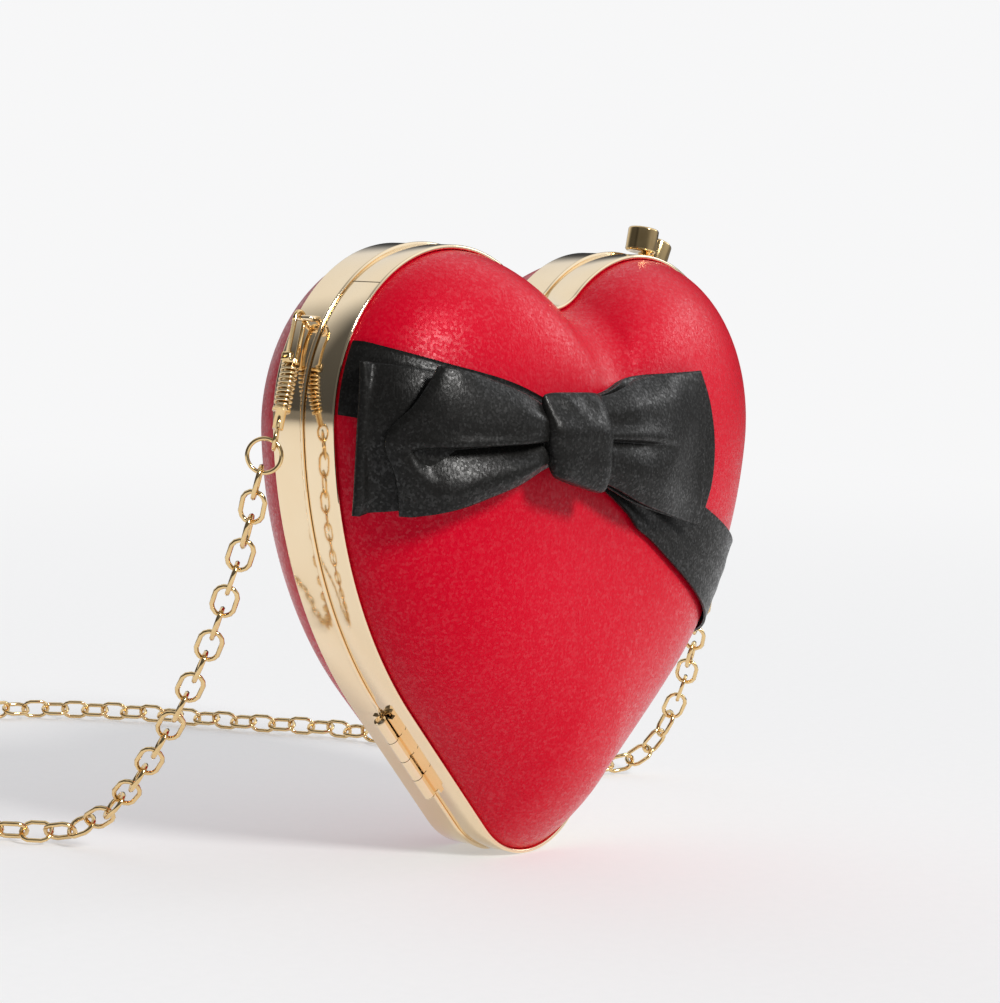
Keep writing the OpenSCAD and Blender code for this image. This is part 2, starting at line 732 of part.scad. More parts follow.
module gate(side) {
  color(pale_gold)
    on_hook(side)
      difference() {
        union() {
          gate_rod(barrel_r, barrel_w);
          translate([hook_bend, 0, pivot_z])
            cylinder(r = hook_wire, h = -stub_len - gate_gap - pivot_z, $fn = wire_fn);
        }
        gate_rod(gate_pin_r + gate_play, 2 * barrel_w);
      }
}
module gate_pin(side) {
  color(gold)
    on_hook(side)
      gate_rod(gate_pin_r, barrel_w + 2 * barrel_play + 2 * cheek_t);
}

// Close coil round the hook's core: one unbroken tube
turn_rings = 8;
tube_sides = 6;
coil_rings = coil_turns * turn_rings;
function coil_at(i) = let (a = 360 * i / turn_rings)
  [coil_r * cos(a), coil_r * sin(a), low_collar + coil_wire + coil_play + coil_pitch * i / turn_rings];
function coil_ring(i) = let (a = 360 * i / turn_rings, c = coil_at(i))
  [for (j = [0:tube_sides - 1]) let (b = -360 * j / tube_sides, r = coil_wire * cos(b))
    [c[0] + r * cos(a), c[1] + r * sin(a), c[2] + coil_wire * sin(b)]];
coil_self_gap = min([for (i = [0:coil_rings - turn_rings])
  for (j = [turn_rings - 2:turn_rings + 2])
    norm(coil_at(i + j) - coil_at(i)) - 2 * coil_wire]);
echo(coil_self_gap = coil_self_gap);
module ferrule(side) {
  color(gold)
    on_hook(side)
      skin([for (i = [0:coil_rings]) coil_ring(i)]);
}

// Jump rings between the hooks' eyes and the chain's end links
eye_at = hook_at - eye_down * hook_up;
ring_back = [cos(ring_turn), sin(ring_turn), 0];
ring_face = [sin(ring_turn), -cos(ring_turn), 0];
ring_at = eye_at + ring_drop * (sin(ring_pull) * ring_back - [0, 0, cos(ring_pull)]);
module jump_ring(side) {
  color(pale_gold)
    on_side(side)
      translate(ring_at)
        rotate([90, 0, ring_turn])
          rotate_extrude($fn = 64)
            translate([ring_r, 0])
              circle(r = ring_wire, $fn = wire_fn);
}

// Route of the chain's middle line: down from the left ring, along the ground, through a
// neat coil of the spare length, back behind the purse and up to the right ring
left_ring = [-ring_at[0], ring_at[1], ring_at[2]];
link_reach = link_side / 2 + link_bend;
ring_hold = link_reach - ring_wire - link_wire - link_play;
left_face = [-ring_face[0], ring_face[1], 0];
function unit(v) = v / norm(v);
function hung(ring, face, fall) =
  ring + ring_r * unit(fall - (fall * face) * face) + ring_hold * unit(fall);
left_fall = [0.05, 0.32, -0.94];
right_fall = [0.35, 0.2, -0.92];
left_start = hung(left_ring, left_face, left_fall);
right_end = hung(ring_at, ring_face, right_fall);
left_drop = [
  left_start, [-86, 9, 81], [-85.5, 14.5, 68.5], [-84.5, 20.5, 56], [-84, 27.5, 44],
  [-83, 36, 32], [-82, 46, 20], [-81, 56, 11], [-82, 65, 5.5], [-85, 73, chain_lie]
];
front_run = [
  [-90, 80, chain_lie], [-97, 88, chain_lie], [-102, 100, chain_lie], [-104, 120, chain_lie],
  [-104, 140, chain_lie], [-103, 160, chain_lie]
];
coil_turn_step = 30;
cross_from = 450;
cross_to = 540;
coil_end = 810;
function spiral(t) = let (
    wound = t <= cross_to ? t : 2 * cross_to - t,
    r = coil_out - coil_step * wound / 360,
    up = t <= cross_from ? 0 : t >= cross_to ? 1 : (t - cross_from) / (cross_to - cross_from)
  ) [coil_x + r * cos(180 - t), coil_y + r * sin(180 - t), chain_lie + coil_rise * up];
coil_route = [for (t = [0:coil_turn_step:coil_end]) spiral(t)];
coil_exit = spiral(coil_end);
back_run = [
  coil_exit + [14, 0, 0], coil_exit + [26, 0, 0], coil_exit + [38, 1, -0.5 * coil_rise],
  [-14, 222, chain_lie], [8, 227, chain_lie],
  [33, 227, chain_lie], [50, 216, chain_lie], [63, 199, chain_lie], [71, 180, chain_lie],
  [79, 161, chain_lie], [88, 146, chain_lie], [92, 132, chain_lie], [93, 110, chain_lie],
  [95, 86, chain_lie], [97, 66, chain_lie], [100.5, 55.5, chain_lie]
];
right_drop = [
  [106, 48, chain_lie], [112, 43.5, 4.5], [117, 40, 9], [119.5, 36.5, 16], [119.5, 32, 25.5],
  [116.5, 27, 36], [112, 22, 47], [107, 17, 59], [101, 12, 71], [95, 8, 83], right_end
];
control = concat(left_drop, front_run, coil_route, back_run, right_drop);
smooth_steps = 6;
function blend(a, b, c, d, t) = 0.5 * (2 * b + (c - a) * t + (2 * a - 5 * b + 4 * c - d) * t * t
  + (3 * b - a - 3 * c + d) * t * t * t);
last_control = len(control) - 1;
curve = concat([for (k = [0:last_control - 1]) for (j = [0:smooth_steps - 1])
  blend(control[max(k - 1, 0)], control[k], control[k + 1], control[min(k + 2, last_control)],
    j / smooth_steps)], [control[last_control]]);
run = [for (i = 0, s = 0; i < len(curve);
  s = s + (i + 1 < len(curve) ? norm(curve[i + 1] - curve[i]) : 0), i = i + 1) s];
route_len = run[len(run) - 1];
run_x = [for (i = [0:len(run) - 1]) [run[i], curve[i][0]]];
run_y = [for (i = [0:len(run) - 1]) [run[i], curve[i][1]]];
run_z = [for (i = [0:len(run) - 1]) [run[i], curve[i][2]]];
function route_at(s) = [lookup(s, run_x), lookup(s, run_y), lookup(s, run_z)];
full_pitch = link_side + 2 * link_bend - 2 * link_wire - link_play;
link_last = ceil(route_len / full_pitch);
link_pitch = route_len / link_last;
echo(links = link_last + 1, pitch = link_pitch, route = route_len);
function link_way(i) = let (
    s = i * link_pitch,
    w = i == 0 ? left_fall : i == link_last ? -right_fall
      : route_at(s + link_reach) - route_at(s - link_reach)
  ) unit(w);
// Roll of a link about the chain: the end links stand across their rings
function side_of(w) = unit(cross([0, 0, 1], w));
function ring_roll(w, face) = let (y = side_of(w), z = cross(w, y)) atan2(face * z, face * y);
first_roll = ring_roll(link_way(0), left_face);
last_wanted = ring_roll(link_way(link_last), ring_face);
last_raw = last_wanted - (link_last % 2 == 0 ? 0 : 90);
ground_roll = -65;
coil_roll = -45;
roll_links = 12;
function near(a, b) = a - 180 * round((a - b) / 180);
s_ground = run[smooth_steps * len(left_drop)];
s_coil = run[smooth_steps * (len(left_drop) + len(front_run))];
s_exit = run[smooth_steps * (len(left_drop) + len(front_run) + len(coil_route))];
s_rise = run[smooth_steps * (last_control + 1 - len(right_drop))];
roll_table = [
  [0, near(first_roll, coil_roll)], [s_ground, coil_roll], [s_exit, coil_roll],
  [s_exit + roll_links * link_pitch, ground_roll], [s_rise, ground_roll],
  [route_len, near(last_raw, ground_roll)]
];
function link_roll(i) = lookup(i * link_pitch, roll_table) + (i % 2 == 0 ? 0 : 90);

module link() {
  for (s = [-1, 1]) {
    translate([s * link_side / 2, 0, 0])
      rotate_extrude(angle = 180, start = s > 0 ? -90 : 90, $fn = wire_fn)
        translate([link_bend, 0])
          circle(r = link_wire, $fn = wire_fn);
    translate([-link_side / 2, s * link_bend, 0])
      rotate([0, 90, 0])
        cylinder(r = link_wire, h = link_side, $fn = wire_fn);
  }
}
module links(from, to) {
  color(pale_gold)
    for (i = [from:to]) {
      w = link_way(i);
      translate(route_at(i * link_pitch))
        rotate([link_roll(i), -asin(w[2]), atan2(w[1], w[0])])
          link();
    }
}
link_ground = ceil(s_ground / link_pitch);
link_coil = ceil(s_coil / link_pitch);
link_exit = ceil(s_exit / link_pitch);
link_rise = ceil(s_rise / link_pitch);

// Sash: a band over the front cover between two edges given as turns and shares of the reach
sash_top_shares = [
  [150.4, 0.994], [149.8, 0.936], [147.8, 0.823], [141.3, 0.62], [129.8, 0.397], [90, 0.319],
  [54, 0.23], [19.8, 0.263], [2.2, 0.467], [-5.2, 0.667], [-8.8, 0.84], [-10.9, 0.994]
];
sash_low_shares = [
  [162.3, 0.994], [161.6, 0.865], [159.2, 0.658], [155, 0.402], [145.6, 0.171], [90, 0.031],
  [-28, 0.09], [-28, 0.183], [-30.3, 0.351], [-30.9, 0.532], [-31.2, 0.77], [-31.3, 0.994]
];
sash_cross = 6;
function polar_point(t) = let (d = dir(t[0]), x = abs(d[0]))
  crown + t[1] * reach_at(atan2(d[1], x), cover_in) * d;
sash_top = [for (t = sash_top_shares) polar_point(t)];
sash_low = [for (t = sash_low_shares) polar_point(t)];
function halved(list) = concat([for (i = [0:len(list) - 2])
  each [list[i], (list[i] + list[i + 1]) / 2]], [list[len(list) - 1]]);
sash_top_fine = halved(sash_top);
sash_low_fine = halved(sash_low);
module sash() {
  color(satin_black)
    skin([for (k = [0:len(sash_top_fine) - 1])
      let (a = sash_low_fine[k], b = sash_top_fine[k],
        p = [for (j = [0:sash_cross]) a + (b - a) * j / sash_cross])
      concat([for (q = p) over_cover(q[0], q[1], sash_lift)],
        [for (j = [sash_cross:-1:0]) over_cover(p[j][0], p[j][1], sash_lift + sash_t)])]);
}

// Bow layers: stations from left to right as [share of the reach, share of the half height,
// share of the thickness, extra lift share]; negative reach is to the left of the knot
layer_cross = 6;
layer_drop = 2;
steepest = 0.5;
function cloth_base(x, z) = max(bow_stand,
  cover_h(x, z) + (sash_lift + sash_t + bow_gap) / max(steepest, cover_normal(x, z)[2]));
rim_share = 0.3;
function layer_ring(x, mid, half, lift, thick) = let (
    n = layer_cross,
    z = [for (j = [0:n]) mid - half * cos(180 * j / n)],
    full = [for (j = [0:n]) sin(180 * j / n)]
  ) concat(
    [for (j = [0:n]) [x, z[j], cloth_base(x, z[j]) + lift]],
    [for (j = [n:-1:0]) let (swell = rim_share + (1 - rim_share) * full[j])
      [x, z[j], cloth_base(x, z[j]) + lift + thick * swell]]
  );
rear_shares = [
  [-1, 1, 1], [-0.84, 0.98, 1], [-0.68, 0.9, 1], [-0.5, 0.75, 1], [-0.3, 0.56, 1], [0, 0.46, 1],
  [0.24, 0.54, 1], [0.4, 0.68, 1], [0.56, 0.8, 1], [0.74, 0.92, 1], [0.88, 0.98, 1], [1, 1, 1]
];
front_shares = [
  [-1, 1, 0.3], [-0.88, 0.98, 0.65], [-0.72, 0.93, 0.95], [-0.56, 0.84, 1], [-0.43, 0.7, 0.85],
  [-0.32, 0.56, 0.6], [0, 0.45, 0.6], [0.24, 0.56, 0.6], [0.36, 0.7, 0.85], [0.5, 0.82, 1],
  [0.68, 0.92, 1], [0.86, 0.98, 0.8], [1, 1, 0.35]
];
function reach_of(share, left, right) = share < 0 ? share * left : share * right;
module bow_rear_layer() {
  color(satin_black)
    upright()
      skin([for (t = rear_shares)
        layer_ring(reach_of(t[0], rear_reach_left, rear_reach_right) - bow_left, bow_z - layer_drop,
          rear_half * t[1], 0, rear_layer_t * t[2])]);
}
module bow_front_layer() {
  color(satin_black)
    upright()
      skin([for (t = front_shares)
        layer_ring(reach_of(t[0], front_reach_left, front_reach_right) - bow_left, bow_z - layer_drop,
          front_half * t[1], rear_layer_t + bow_gap, front_layer_t * t[2])]);
}
knot_seat_share = 0.6;
knot_shares = [
  [-1, 0.86, 0.5], [-0.8, 0.98, 0.85], [-0.3, 1, 1], [0.3, 1, 1], [0.8, 0.98, 0.85], [1, 0.86, 0.5]
];
module bow_knot() {
  color(satin_black)
    upright()
      skin([for (t = knot_shares)
        layer_ring(knot_half_w * t[0] - bow_left, bow_z, knot_half_h * t[1],
          rear_layer_t + knot_seat_share * front_layer_t + 2 * bow_gap, knot_depth * t[2])]);
}

back_frame();
back_shell();
back_cover();
back_lining();
front_frame();
front_shell();
front_cover();
front_lining();
rear_hinge_leaf();
front_hinge_leaf();
hinge_pin();
front_knob();
rear_knob();
lug(-1);  // left_lug
lug(1);  // right_lug
hook(-1);  // left_hook
gate(-1);  // left_gate
gate_pin(-1);  // left_gate_pin
ferrule(-1);  // left_ferrule
jump_ring(-1);  // left_ring
hook(1);  // right_hook
gate(1);  // right_gate
gate_pin(1);  // right_gate_pin
ferrule(1);  // right_ferrule
jump_ring(1);  // right_ring
links(0, link_ground - 1);  // chain_left_drop
links(link_ground, link_coil - 1);  // chain_front_run
links(link_coil, link_exit - 1);  // chain_coil
links(link_exit, link_rise - 1);  // chain_back_run
links(link_rise, link_last);  // chain_right_drop
sash();
bow_rear_layer();
bow_front_layer();
bow_knot();
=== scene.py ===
import math
import bmesh
import bpy
import numpy as np
from mathutils import Matrix, Vector


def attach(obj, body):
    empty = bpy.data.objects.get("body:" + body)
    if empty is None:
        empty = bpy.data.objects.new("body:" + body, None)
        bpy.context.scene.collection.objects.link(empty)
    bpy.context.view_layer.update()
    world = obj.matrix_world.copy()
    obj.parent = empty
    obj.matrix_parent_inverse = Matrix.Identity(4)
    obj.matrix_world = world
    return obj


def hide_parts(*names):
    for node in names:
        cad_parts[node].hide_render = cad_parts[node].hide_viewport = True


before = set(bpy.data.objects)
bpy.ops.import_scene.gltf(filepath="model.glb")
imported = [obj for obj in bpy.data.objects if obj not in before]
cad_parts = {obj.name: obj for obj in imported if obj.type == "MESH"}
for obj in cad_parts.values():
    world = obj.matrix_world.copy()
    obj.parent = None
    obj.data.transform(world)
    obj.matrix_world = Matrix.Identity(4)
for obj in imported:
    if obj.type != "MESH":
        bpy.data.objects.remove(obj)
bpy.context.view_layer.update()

# ---------------------------------------------------------------------------------------
# The camera: a long lens in front of the purse and to its left, some 14 cm above the
# floor. Its place, its slight roll and its shift are fitted to the photograph.
# ---------------------------------------------------------------------------------------
MM = 0.001
camera_at = (-559.1, -452.0, 142.8)
camera_right = Vector((0.6309, -0.7748, 0.0411))
camera_up = Vector((0.0417, 0.0868, 0.9954))
focal_px = 2894.2
sensor_mm = 36.0
picture_long_px = 1003.0
picture_middle_px = (500.0, 501.5)
principal_px = (513.72, 530.9)

camera_data = bpy.data.cameras.new("camera")
camera_data.sensor_width = sensor_mm
camera_data.lens = focal_px * sensor_mm / picture_long_px
camera_data.shift_x = (picture_middle_px[0] - principal_px[0]) / picture_long_px
camera_data.shift_y = (principal_px[1] - picture_middle_px[1]) / picture_long_px
camera_data.clip_end = 20.0
camera = bpy.data.objects.new("camera", camera_data)
bpy.context.collection.objects.link(camera)
right = camera_right.normalized()
back = right.cross(camera_up).normalized()
up = back.cross(right).normalized()
camera.matrix_world = Matrix.Translation(Vector(camera_at) * MM) @ Matrix(
    (right, up, back)).transposed().to_4x4()
bpy.context.scene.camera = camera

# ---------------------------------------------------------------------------------------
# The chain: one loose length of round wire links, each bent from pale gold plated wire and
# closed through the one before. It hangs from the left ring, runs along the floor through
# a neat coil of the spare length, and comes back behind the purse to the right ring.
# ---------------------------------------------------------------------------------------
link_bend, link_side, link_wire, link_play = 2.7, 2.2, 0.6, 0.25
chain_lie = 3.2
coil_out, coil_step, coil_rise, coil_x, coil_y = 34.0, 8.0, 6.2, -68.0, 188.0
ring_r, ring_wire = 3.9, 0.5
ring_turn, ring_pull, ring_drop = math.radians(51), math.radians(32), 4.55
# eye of the right hook; everything on the left is its mirror image
eye_at = np.array((85.441, 1.122, 104.295))
ring_back = np.array((math.cos(ring_turn), math.sin(ring_turn), 0.0))
ring_face = np.array((math.sin(ring_turn), -math.cos(ring_turn), 0.0))
ring_at = eye_at + ring_drop * (math.sin(ring_pull) * ring_back
                                - np.array((0.0, 0.0, math.cos(ring_pull))))
mirror_x = np.array((-1.0, 1.0, 1.0))
left_fall = np.array((0.05, 0.32, -0.94))
right_fall = np.array((0.35, 0.2, -0.92))


def unit(v):
    return v / np.linalg.norm(v)


def hung(ring, face, fall):
    """Middle of the chain's end link where it hangs in this ring, falling this way."""
    hold = link_side / 2 + link_bend - ring_wire - link_wire - link_play
    return ring + ring_r * unit(fall - fall.dot(face) * face) + hold * unit(fall)


def spiral(t):
    """The spare coil t degrees in: it winds inwards, climbs onto itself and winds out."""
    turned, climb_from, climb_to = math.radians(180 - t), 450, 540
    r = coil_out - coil_step * min(t, 2 * climb_to - t) / 360
    lift = min(1.0, max(0.0, (t - climb_from) / (climb_to - climb_from)))
    return (coil_x + r * math.cos(turned), coil_y + r * math.sin(turned),
            chain_lie + coil_rise * lift)


left_ring = ring_at * mirror_x
left_face = ring_face * mirror_x
left_start = hung(left_ring, left_face, left_fall)
right_end = hung(ring_at, ring_face, right_fall)
left_drop = [tuple(left_start), (-86, 9, 81), (-85.5, 14.5, 68.5), (-84.5, 20.5, 56),
             (-84, 27.5, 44), (-83, 36, 32), (-82, 46, 20), (-81, 56, 11), (-82, 65, 5.5),
             (-85, 73, chain_lie)]
front_run = [(x, y, chain_lie) for x, y in
             ((-90, 80), (-97, 88), (-102, 100), (-104, 120), (-104, 140), (-103, 160))]
coil_turn_step, coil_angle = 30, 810
coil_route = [spiral(t) for t in range(0, coil_angle + 1, coil_turn_step)]
coil_exit = coil_route[-1]
back_run = [(coil_exit[0] + x, coil_exit[1] + y, coil_exit[2] + z) for x, y, z in
            ((14, 0, 0), (26, 0, 0), (38, 1, -0.5 * coil_rise))]
back_run += [(x, y, chain_lie) for x, y in
             ((-14, 222), (8, 227), (33, 227), (50, 216), (63, 199), (71, 180), (79, 161),
              (88, 146), (92, 132), (93, 110), (95, 86), (97, 66), (100.5, 55.5))]
right_drop = [(106, 48, chain_lie), (112, 43.5, 4.5), (117, 40, 9), (119.5, 36.5, 16),
              (119.5, 32, 25.5), (116.5, 27, 36), (112, 22, 47), (107, 17, 59), (101, 12, 71),
              (95, 8, 83), tuple(right_end)]
control = np.array(left_drop + front_run + coil_route + back_run + right_drop, float)
smooth_steps = 6
last_control = len(control) - 1


def smooth_between(points, k, t):
    """Point on a smooth curve through these ones, the share t past the k-th."""
    a, b = points[max(k - 1, 0)], points[k]
    c, d = points[k + 1], points[min(k + 2, len(points) - 1)]
    return 0.5 * (2 * b + (c - a) * t + (2 * a - 5 * b + 4 * c - d) * t * t
                  + (3 * b - a - 3 * c + d) * t ** 3)


curve = np.array([smooth_between(control, k, j / smooth_steps)
                  for k in range(last_control) for j in range(smooth_steps)] + [control[-1]])
run = np.concatenate(([0.0], np.cumsum(np.linalg.norm(np.diff(curve, axis=0), axis=1))))
route_len = run[-1]


def route_at(s):
    return np.array([np.interp(s, run, curve[:, axis]) for axis in range(3)])


full_pitch = link_side + 2 * link_bend - 2 * link_wire - link_play
link_last = math.ceil(route_len / full_pitch)
link_pitch = route_len / link_last


def link_way(i):
    reach = link_side / 2 + link_bend
    if i == 0:
        return unit(left_fall)
    if i == link_last:
        return unit(-right_fall)
    return unit(route_at(i * link_pitch + reach) - route_at(i * link_pitch - reach))


def ring_roll(way, face):
    side = unit(np.cross((0.0, 0.0, 1.0), way))
    return math.degrees(math.atan2(face.dot(np.cross(way, side)), face.dot(side)))


def near(angle, other):
    return angle - 180 * round((angle - other) / 180)


ground_roll, coil_roll, links_to_roll = -65, -45, 12
last_raw = ring_roll(link_way(link_last), ring_face) - (90 if link_last % 2 else 0)
joins = np.cumsum([len(left_drop), len(front_run), len(coil_route)]) * smooth_steps
rise_at = smooth_steps * (last_control + 1 - len(right_drop))
roll_places = [0, run[joins[0]], run[joins[2]], run[joins[2]] + links_to_roll * link_pitch,
               run[rise_at], route_len]
roll_values = [near(ring_roll(link_way(0), left_face), coil_roll), coil_roll, coil_roll,
               ground_roll, ground_roll, near(last_raw, ground_roll)]

link_points, link_turns = [], []
for i in range(link_last + 1):
    way = link_way(i)
    roll = np.interp(i * link_pitch, roll_places, roll_values) + (90 if i % 2 else 0)
    link_points.append(route_at(i * link_pitch) * MM)
    link_turns.append((math.radians(roll), -math.asin(way[2]), math.atan2(way[1], way[0])))

places = bpy.data.meshes.new("chain places")
places.from_pydata([tuple(p) for p in link_points], [], [])
turns = places.attributes.new("link turn", "FLOAT_VECTOR", "POINT")
turns.data.foreach_set("vector", [v for turn in link_turns for v in turn])


def lay(tree, kind, settings, feeds, out):
    """Lays a node: its type, its settings, what feeds its sockets, and its output."""
    node = tree.nodes.new(kind)
    for name, value in settings.items():
        setattr(node, name, value)
    for key, value in feeds.items():
        if isinstance(value, bpy.types.NodeSocket):
            tree.links.new(value, node.inputs[key])
        else:
            node.inputs[key].default_value = value
    return node.outputs[out]


class Work:
    """A Geometry Nodes tree: size() adds a named input, node() lays a node."""

    def __init__(self, name):
        self.tree = bpy.data.node_groups.new(name, "GeometryNodeTree")
        self.tree.interface.new_socket("Geometry", in_out="INPUT",
                                       socket_type="NodeSocketGeometry")
        self.tree.interface.new_socket("Geometry", in_out="OUTPUT",
                                       socket_type="NodeSocketGeometry")
        self.given = self.tree.nodes.new("NodeGroupInput")
        self.sizes = {}

    def size(self, name, value, kind="NodeSocketFloat"):
        socket = self.tree.interface.new_socket(name, in_out="INPUT", socket_type=kind)
        self.sizes[socket.identifier] = value
        return self.given.outputs[name]

    def node(self, kind, settings, feeds, out=0):
        return lay(self.tree, kind, settings, feeds, out)

    def end(self, geometry, material):
        real = self.node("GeometryNodeRealizeInstances", {}, {"Geometry": geometry})
        painted = self.node("GeometryNodeSetMaterial", {}, {"Geometry": real,
                                                            "Material": material})
        end = self.tree.nodes.new("NodeGroupOutput")
        self.tree.links.new(painted, end.inputs[0])

    def make(self, name, mesh):
        """The evaluated result on this mesh, as a plain mesh object."""
        holder = bpy.data.objects.new(name + "_holder", mesh)
        bpy.context.collection.objects.link(holder)
        modifier = holder.modifiers.new("work", "NODES")
        modifier.node_group = self.tree
        for identifier, value in self.sizes.items():
            modifier[identifier] = value
        graph = bpy.context.evaluated_depsgraph_get()
        made = bpy.data.meshes.new_from_object(holder.evaluated_get(graph))
        bpy.data.objects.remove(holder)
        made.name = name
        made.shade_smooth()
        piece = bpy.data.objects.new(name, made)
        bpy.context.collection.objects.link(piece)
        return piece


class Feed:
    """A shader socket; Python's operators on it lay Math or Vector Math nodes."""

    def __init__(self, tree, socket=None):
        self.tree, self.socket = tree, socket

    def node(self, kind, settings, feeds, out=0):
        """Any shader node, fed by other feeds or by plain values."""
        feeds = {key: value.socket if isinstance(value, Feed) else value
                 for key, value in feeds.items()}
        return Feed(self.tree, lay(self.tree, "ShaderNode" + kind, settings, feeds, out))

    def _maths(self, operation, first, second):
        many = any(isinstance(v, Feed) and v.socket.type in ("VECTOR", "RGBA")
                   for v in (first, second))
        if many:
            first, second = (v if isinstance(v, Feed) else (v, v, v) if isinstance(
                v, (int, float)) else v for v in (first, second))
        return self.node("VectorMath" if many else "Math", {"operation": operation},
                         {0: first, 1: second})

    def __add__(self, other):
        return self._maths("ADD", self, other)

    def __sub__(self, other):
        return self._maths("SUBTRACT", self, other)

    def __rsub__(self, other):
        return self._maths("SUBTRACT", other, self)

    def __mul__(self, other):
        return self._maths("MULTIPLY", self, other)

    def __pow__(self, other):
        return self._maths("POWER", self, other)

    __radd__ = __add__
    __rmul__ = __mul__

    def noise(self, scale, detail, **more):
        """Clouded noise read at this place."""
        return self.node("TexNoise", {}, {"Vector": self, "Scale": scale, "Detail": detail,
                                          **more})

    def mixed(self, first, second):
        """This value's mix of two colours."""
        return self.node("Mix", {"data_type": "RGBA"}, {0: self, 6: first, 7: second}, 2)


def finish_of(name):
    """A new material, a feed into its empty tree, and the piece's own coordinates."""
    material = bpy.data.materials.new(name)
    material.use_nodes = True
    material.node_tree.nodes.clear()
    start = Feed(material.node_tree)
    return material, start, start.node("TexCoord", {}, {}, "Object")


def surface(start, feeds):
    """Lays the Principled shader with these sockets and joins it to the output."""
    shader = start.node("BsdfPrincipled", {}, feeds)
    end = start.tree.nodes.new("ShaderNodeOutputMaterial")
    start.tree.links.new(shader.socket, end.inputs["Surface"])


def plated(name, light, deep, rough_low, rough_high, cloud_scale):
    """Polished plating: clouded tone, fine scratches and a faint hand-polished swell."""
    material, start, place = finish_of(name)
    cloud = place.noise(cloud_scale, 3.0)
    scratch = (place * (1.0, 1.0, 9.0)).noise(900.0, 2.0)
    swell = place.noise(160.0, 1.0)
    rough = cloud * (rough_high - rough_low) + rough_low + (scratch - 0.5) * 0.05
    bump = start.node("Bump", {}, {"Strength": 0.10, "Distance": 0.00012,
                                   "Height": swell + scratch * 0.08})
    surface(start, {"Base Color": cloud.mixed(deep, light), "Metallic": 1.0,
                    "Roughness": rough, "Normal": bump})
    return material


wire_gold = plated("pale gold wire", (0.92, 0.69, 0.37, 1), (0.76, 0.52, 0.23, 1),
                   0.08, 0.16, 300.0)

links = Work("chain links")
wire = links.size("Wire radius", link_wire * MM)
bend = links.size("End radius", link_bend * MM)
side = links.size("Side length", link_side * MM)
ring = links.node("GeometryNodeCurvePrimitiveCircle", {}, {"Resolution": 14, "Radius": bend})
spot = links.node("GeometryNodeInputPosition", {}, {})
across = links.node("ShaderNodeSeparateXYZ", {}, {0: spot})
sign = links.node("ShaderNodeMath", {"operation": "SIGN"}, {0: across})
half = links.node("ShaderNodeMath", {"operation": "MULTIPLY"}, {0: side, 1: 0.5})
shove = links.node("ShaderNodeMath", {"operation": "MULTIPLY"}, {0: sign, 1: half})
offset = links.node("ShaderNodeCombineXYZ", {}, {0: shove})
oval = links.node("GeometryNodeSetPosition", {}, {"Geometry": ring, "Offset": offset})
section = links.node("GeometryNodeCurvePrimitiveCircle", {}, {"Resolution": 6, "Radius": wire})
one_link = links.node("GeometryNodeCurveToMesh", {}, {0: oval, "Profile Curve": section})
turn = links.node("GeometryNodeInputNamedAttribute", {"data_type": "FLOAT_VECTOR"},
                  {"Name": "link turn"})
laid = links.node("GeometryNodeInstanceOnPoints", {}, {
    "Points": links.given.outputs["Geometry"], "Instance": one_link, "Rotation": turn})
links.end(laid, wire_gold)
chain = links.make("link_chain", places)
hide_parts("chain_left_drop", "chain_front_run", "chain_coil", "chain_back_run",
            "chain_right_drop")
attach(chain, "back_half")
tuple(left_start * MM)

# ---------------------------------------------------------------------------------------
# The two frames: strips of polished gold plated brass, bent to the heart and brazed. The
# rear one carries a half round bead beside the seam and a locating tongue inside; the
# front one shows its butt joint as a fine line on the upper left.
# ---------------------------------------------------------------------------------------
lobe_x, lobe_z, lobe_r = 37.0, 109.4, 40.6
cleft_r, flank_len, shoulder_drop, tip_r = 15.0, 42.6, math.radians(5), 24.0
front_depth, back_depth, wall, seam_gap = 9.0, 10.0, 1.1, 0.3
bead_r, bead_back, bead_turn = 0.5, 0.72, 84
tongue_h, tongue_t, tongue_gap = 1.6, 0.7, 0.25
tip_flat = 0.1
hinge_start, knuckle_len, knuckle_gap = 0.8, 6.7, 0.2
hinge_len = 4 * knuckle_len + 3 * knuckle_gap


def towards(a):
    return np.array((math.cos(a), math.sin(a)))


cleft_z = lobe_z + math.sqrt((lobe_r + cleft_r) ** 2 - lobe_x ** 2)
cleft_turn = math.atan2(cleft_z - lobe_z, -lobe_x)
lobe_centre, tip_centre = np.array((lobe_x, lobe_z)), np.array((0.0, tip_r))
cleft_centre = np.array((0.0, cleft_z))
shoulder_way = towards(-shoulder_drop)
shoulder_start = lobe_centre + lobe_r * shoulder_way - tip_centre
shoulder_r = ((shoulder_start.dot(shoulder_start) - tip_r ** 2 - flank_len ** 2)
              / (2 * (shoulder_start.dot(shoulder_way) - tip_r)))
shoulder_centre = lobe_centre + (lobe_r - shoulder_r) * shoulder_way
span = shoulder_centre - tip_centre
flank_a = math.atan2(span[1], span[0]) - math.acos((tip_r - shoulder_r) / np.linalg.norm(span))
flank_top = shoulder_centre + shoulder_r * towards(flank_a)
flank_low = tip_centre + tip_r * towards(flank_a)
hinge_room, bead_ramp, on_flank = 0.25, 0.3, 0.05


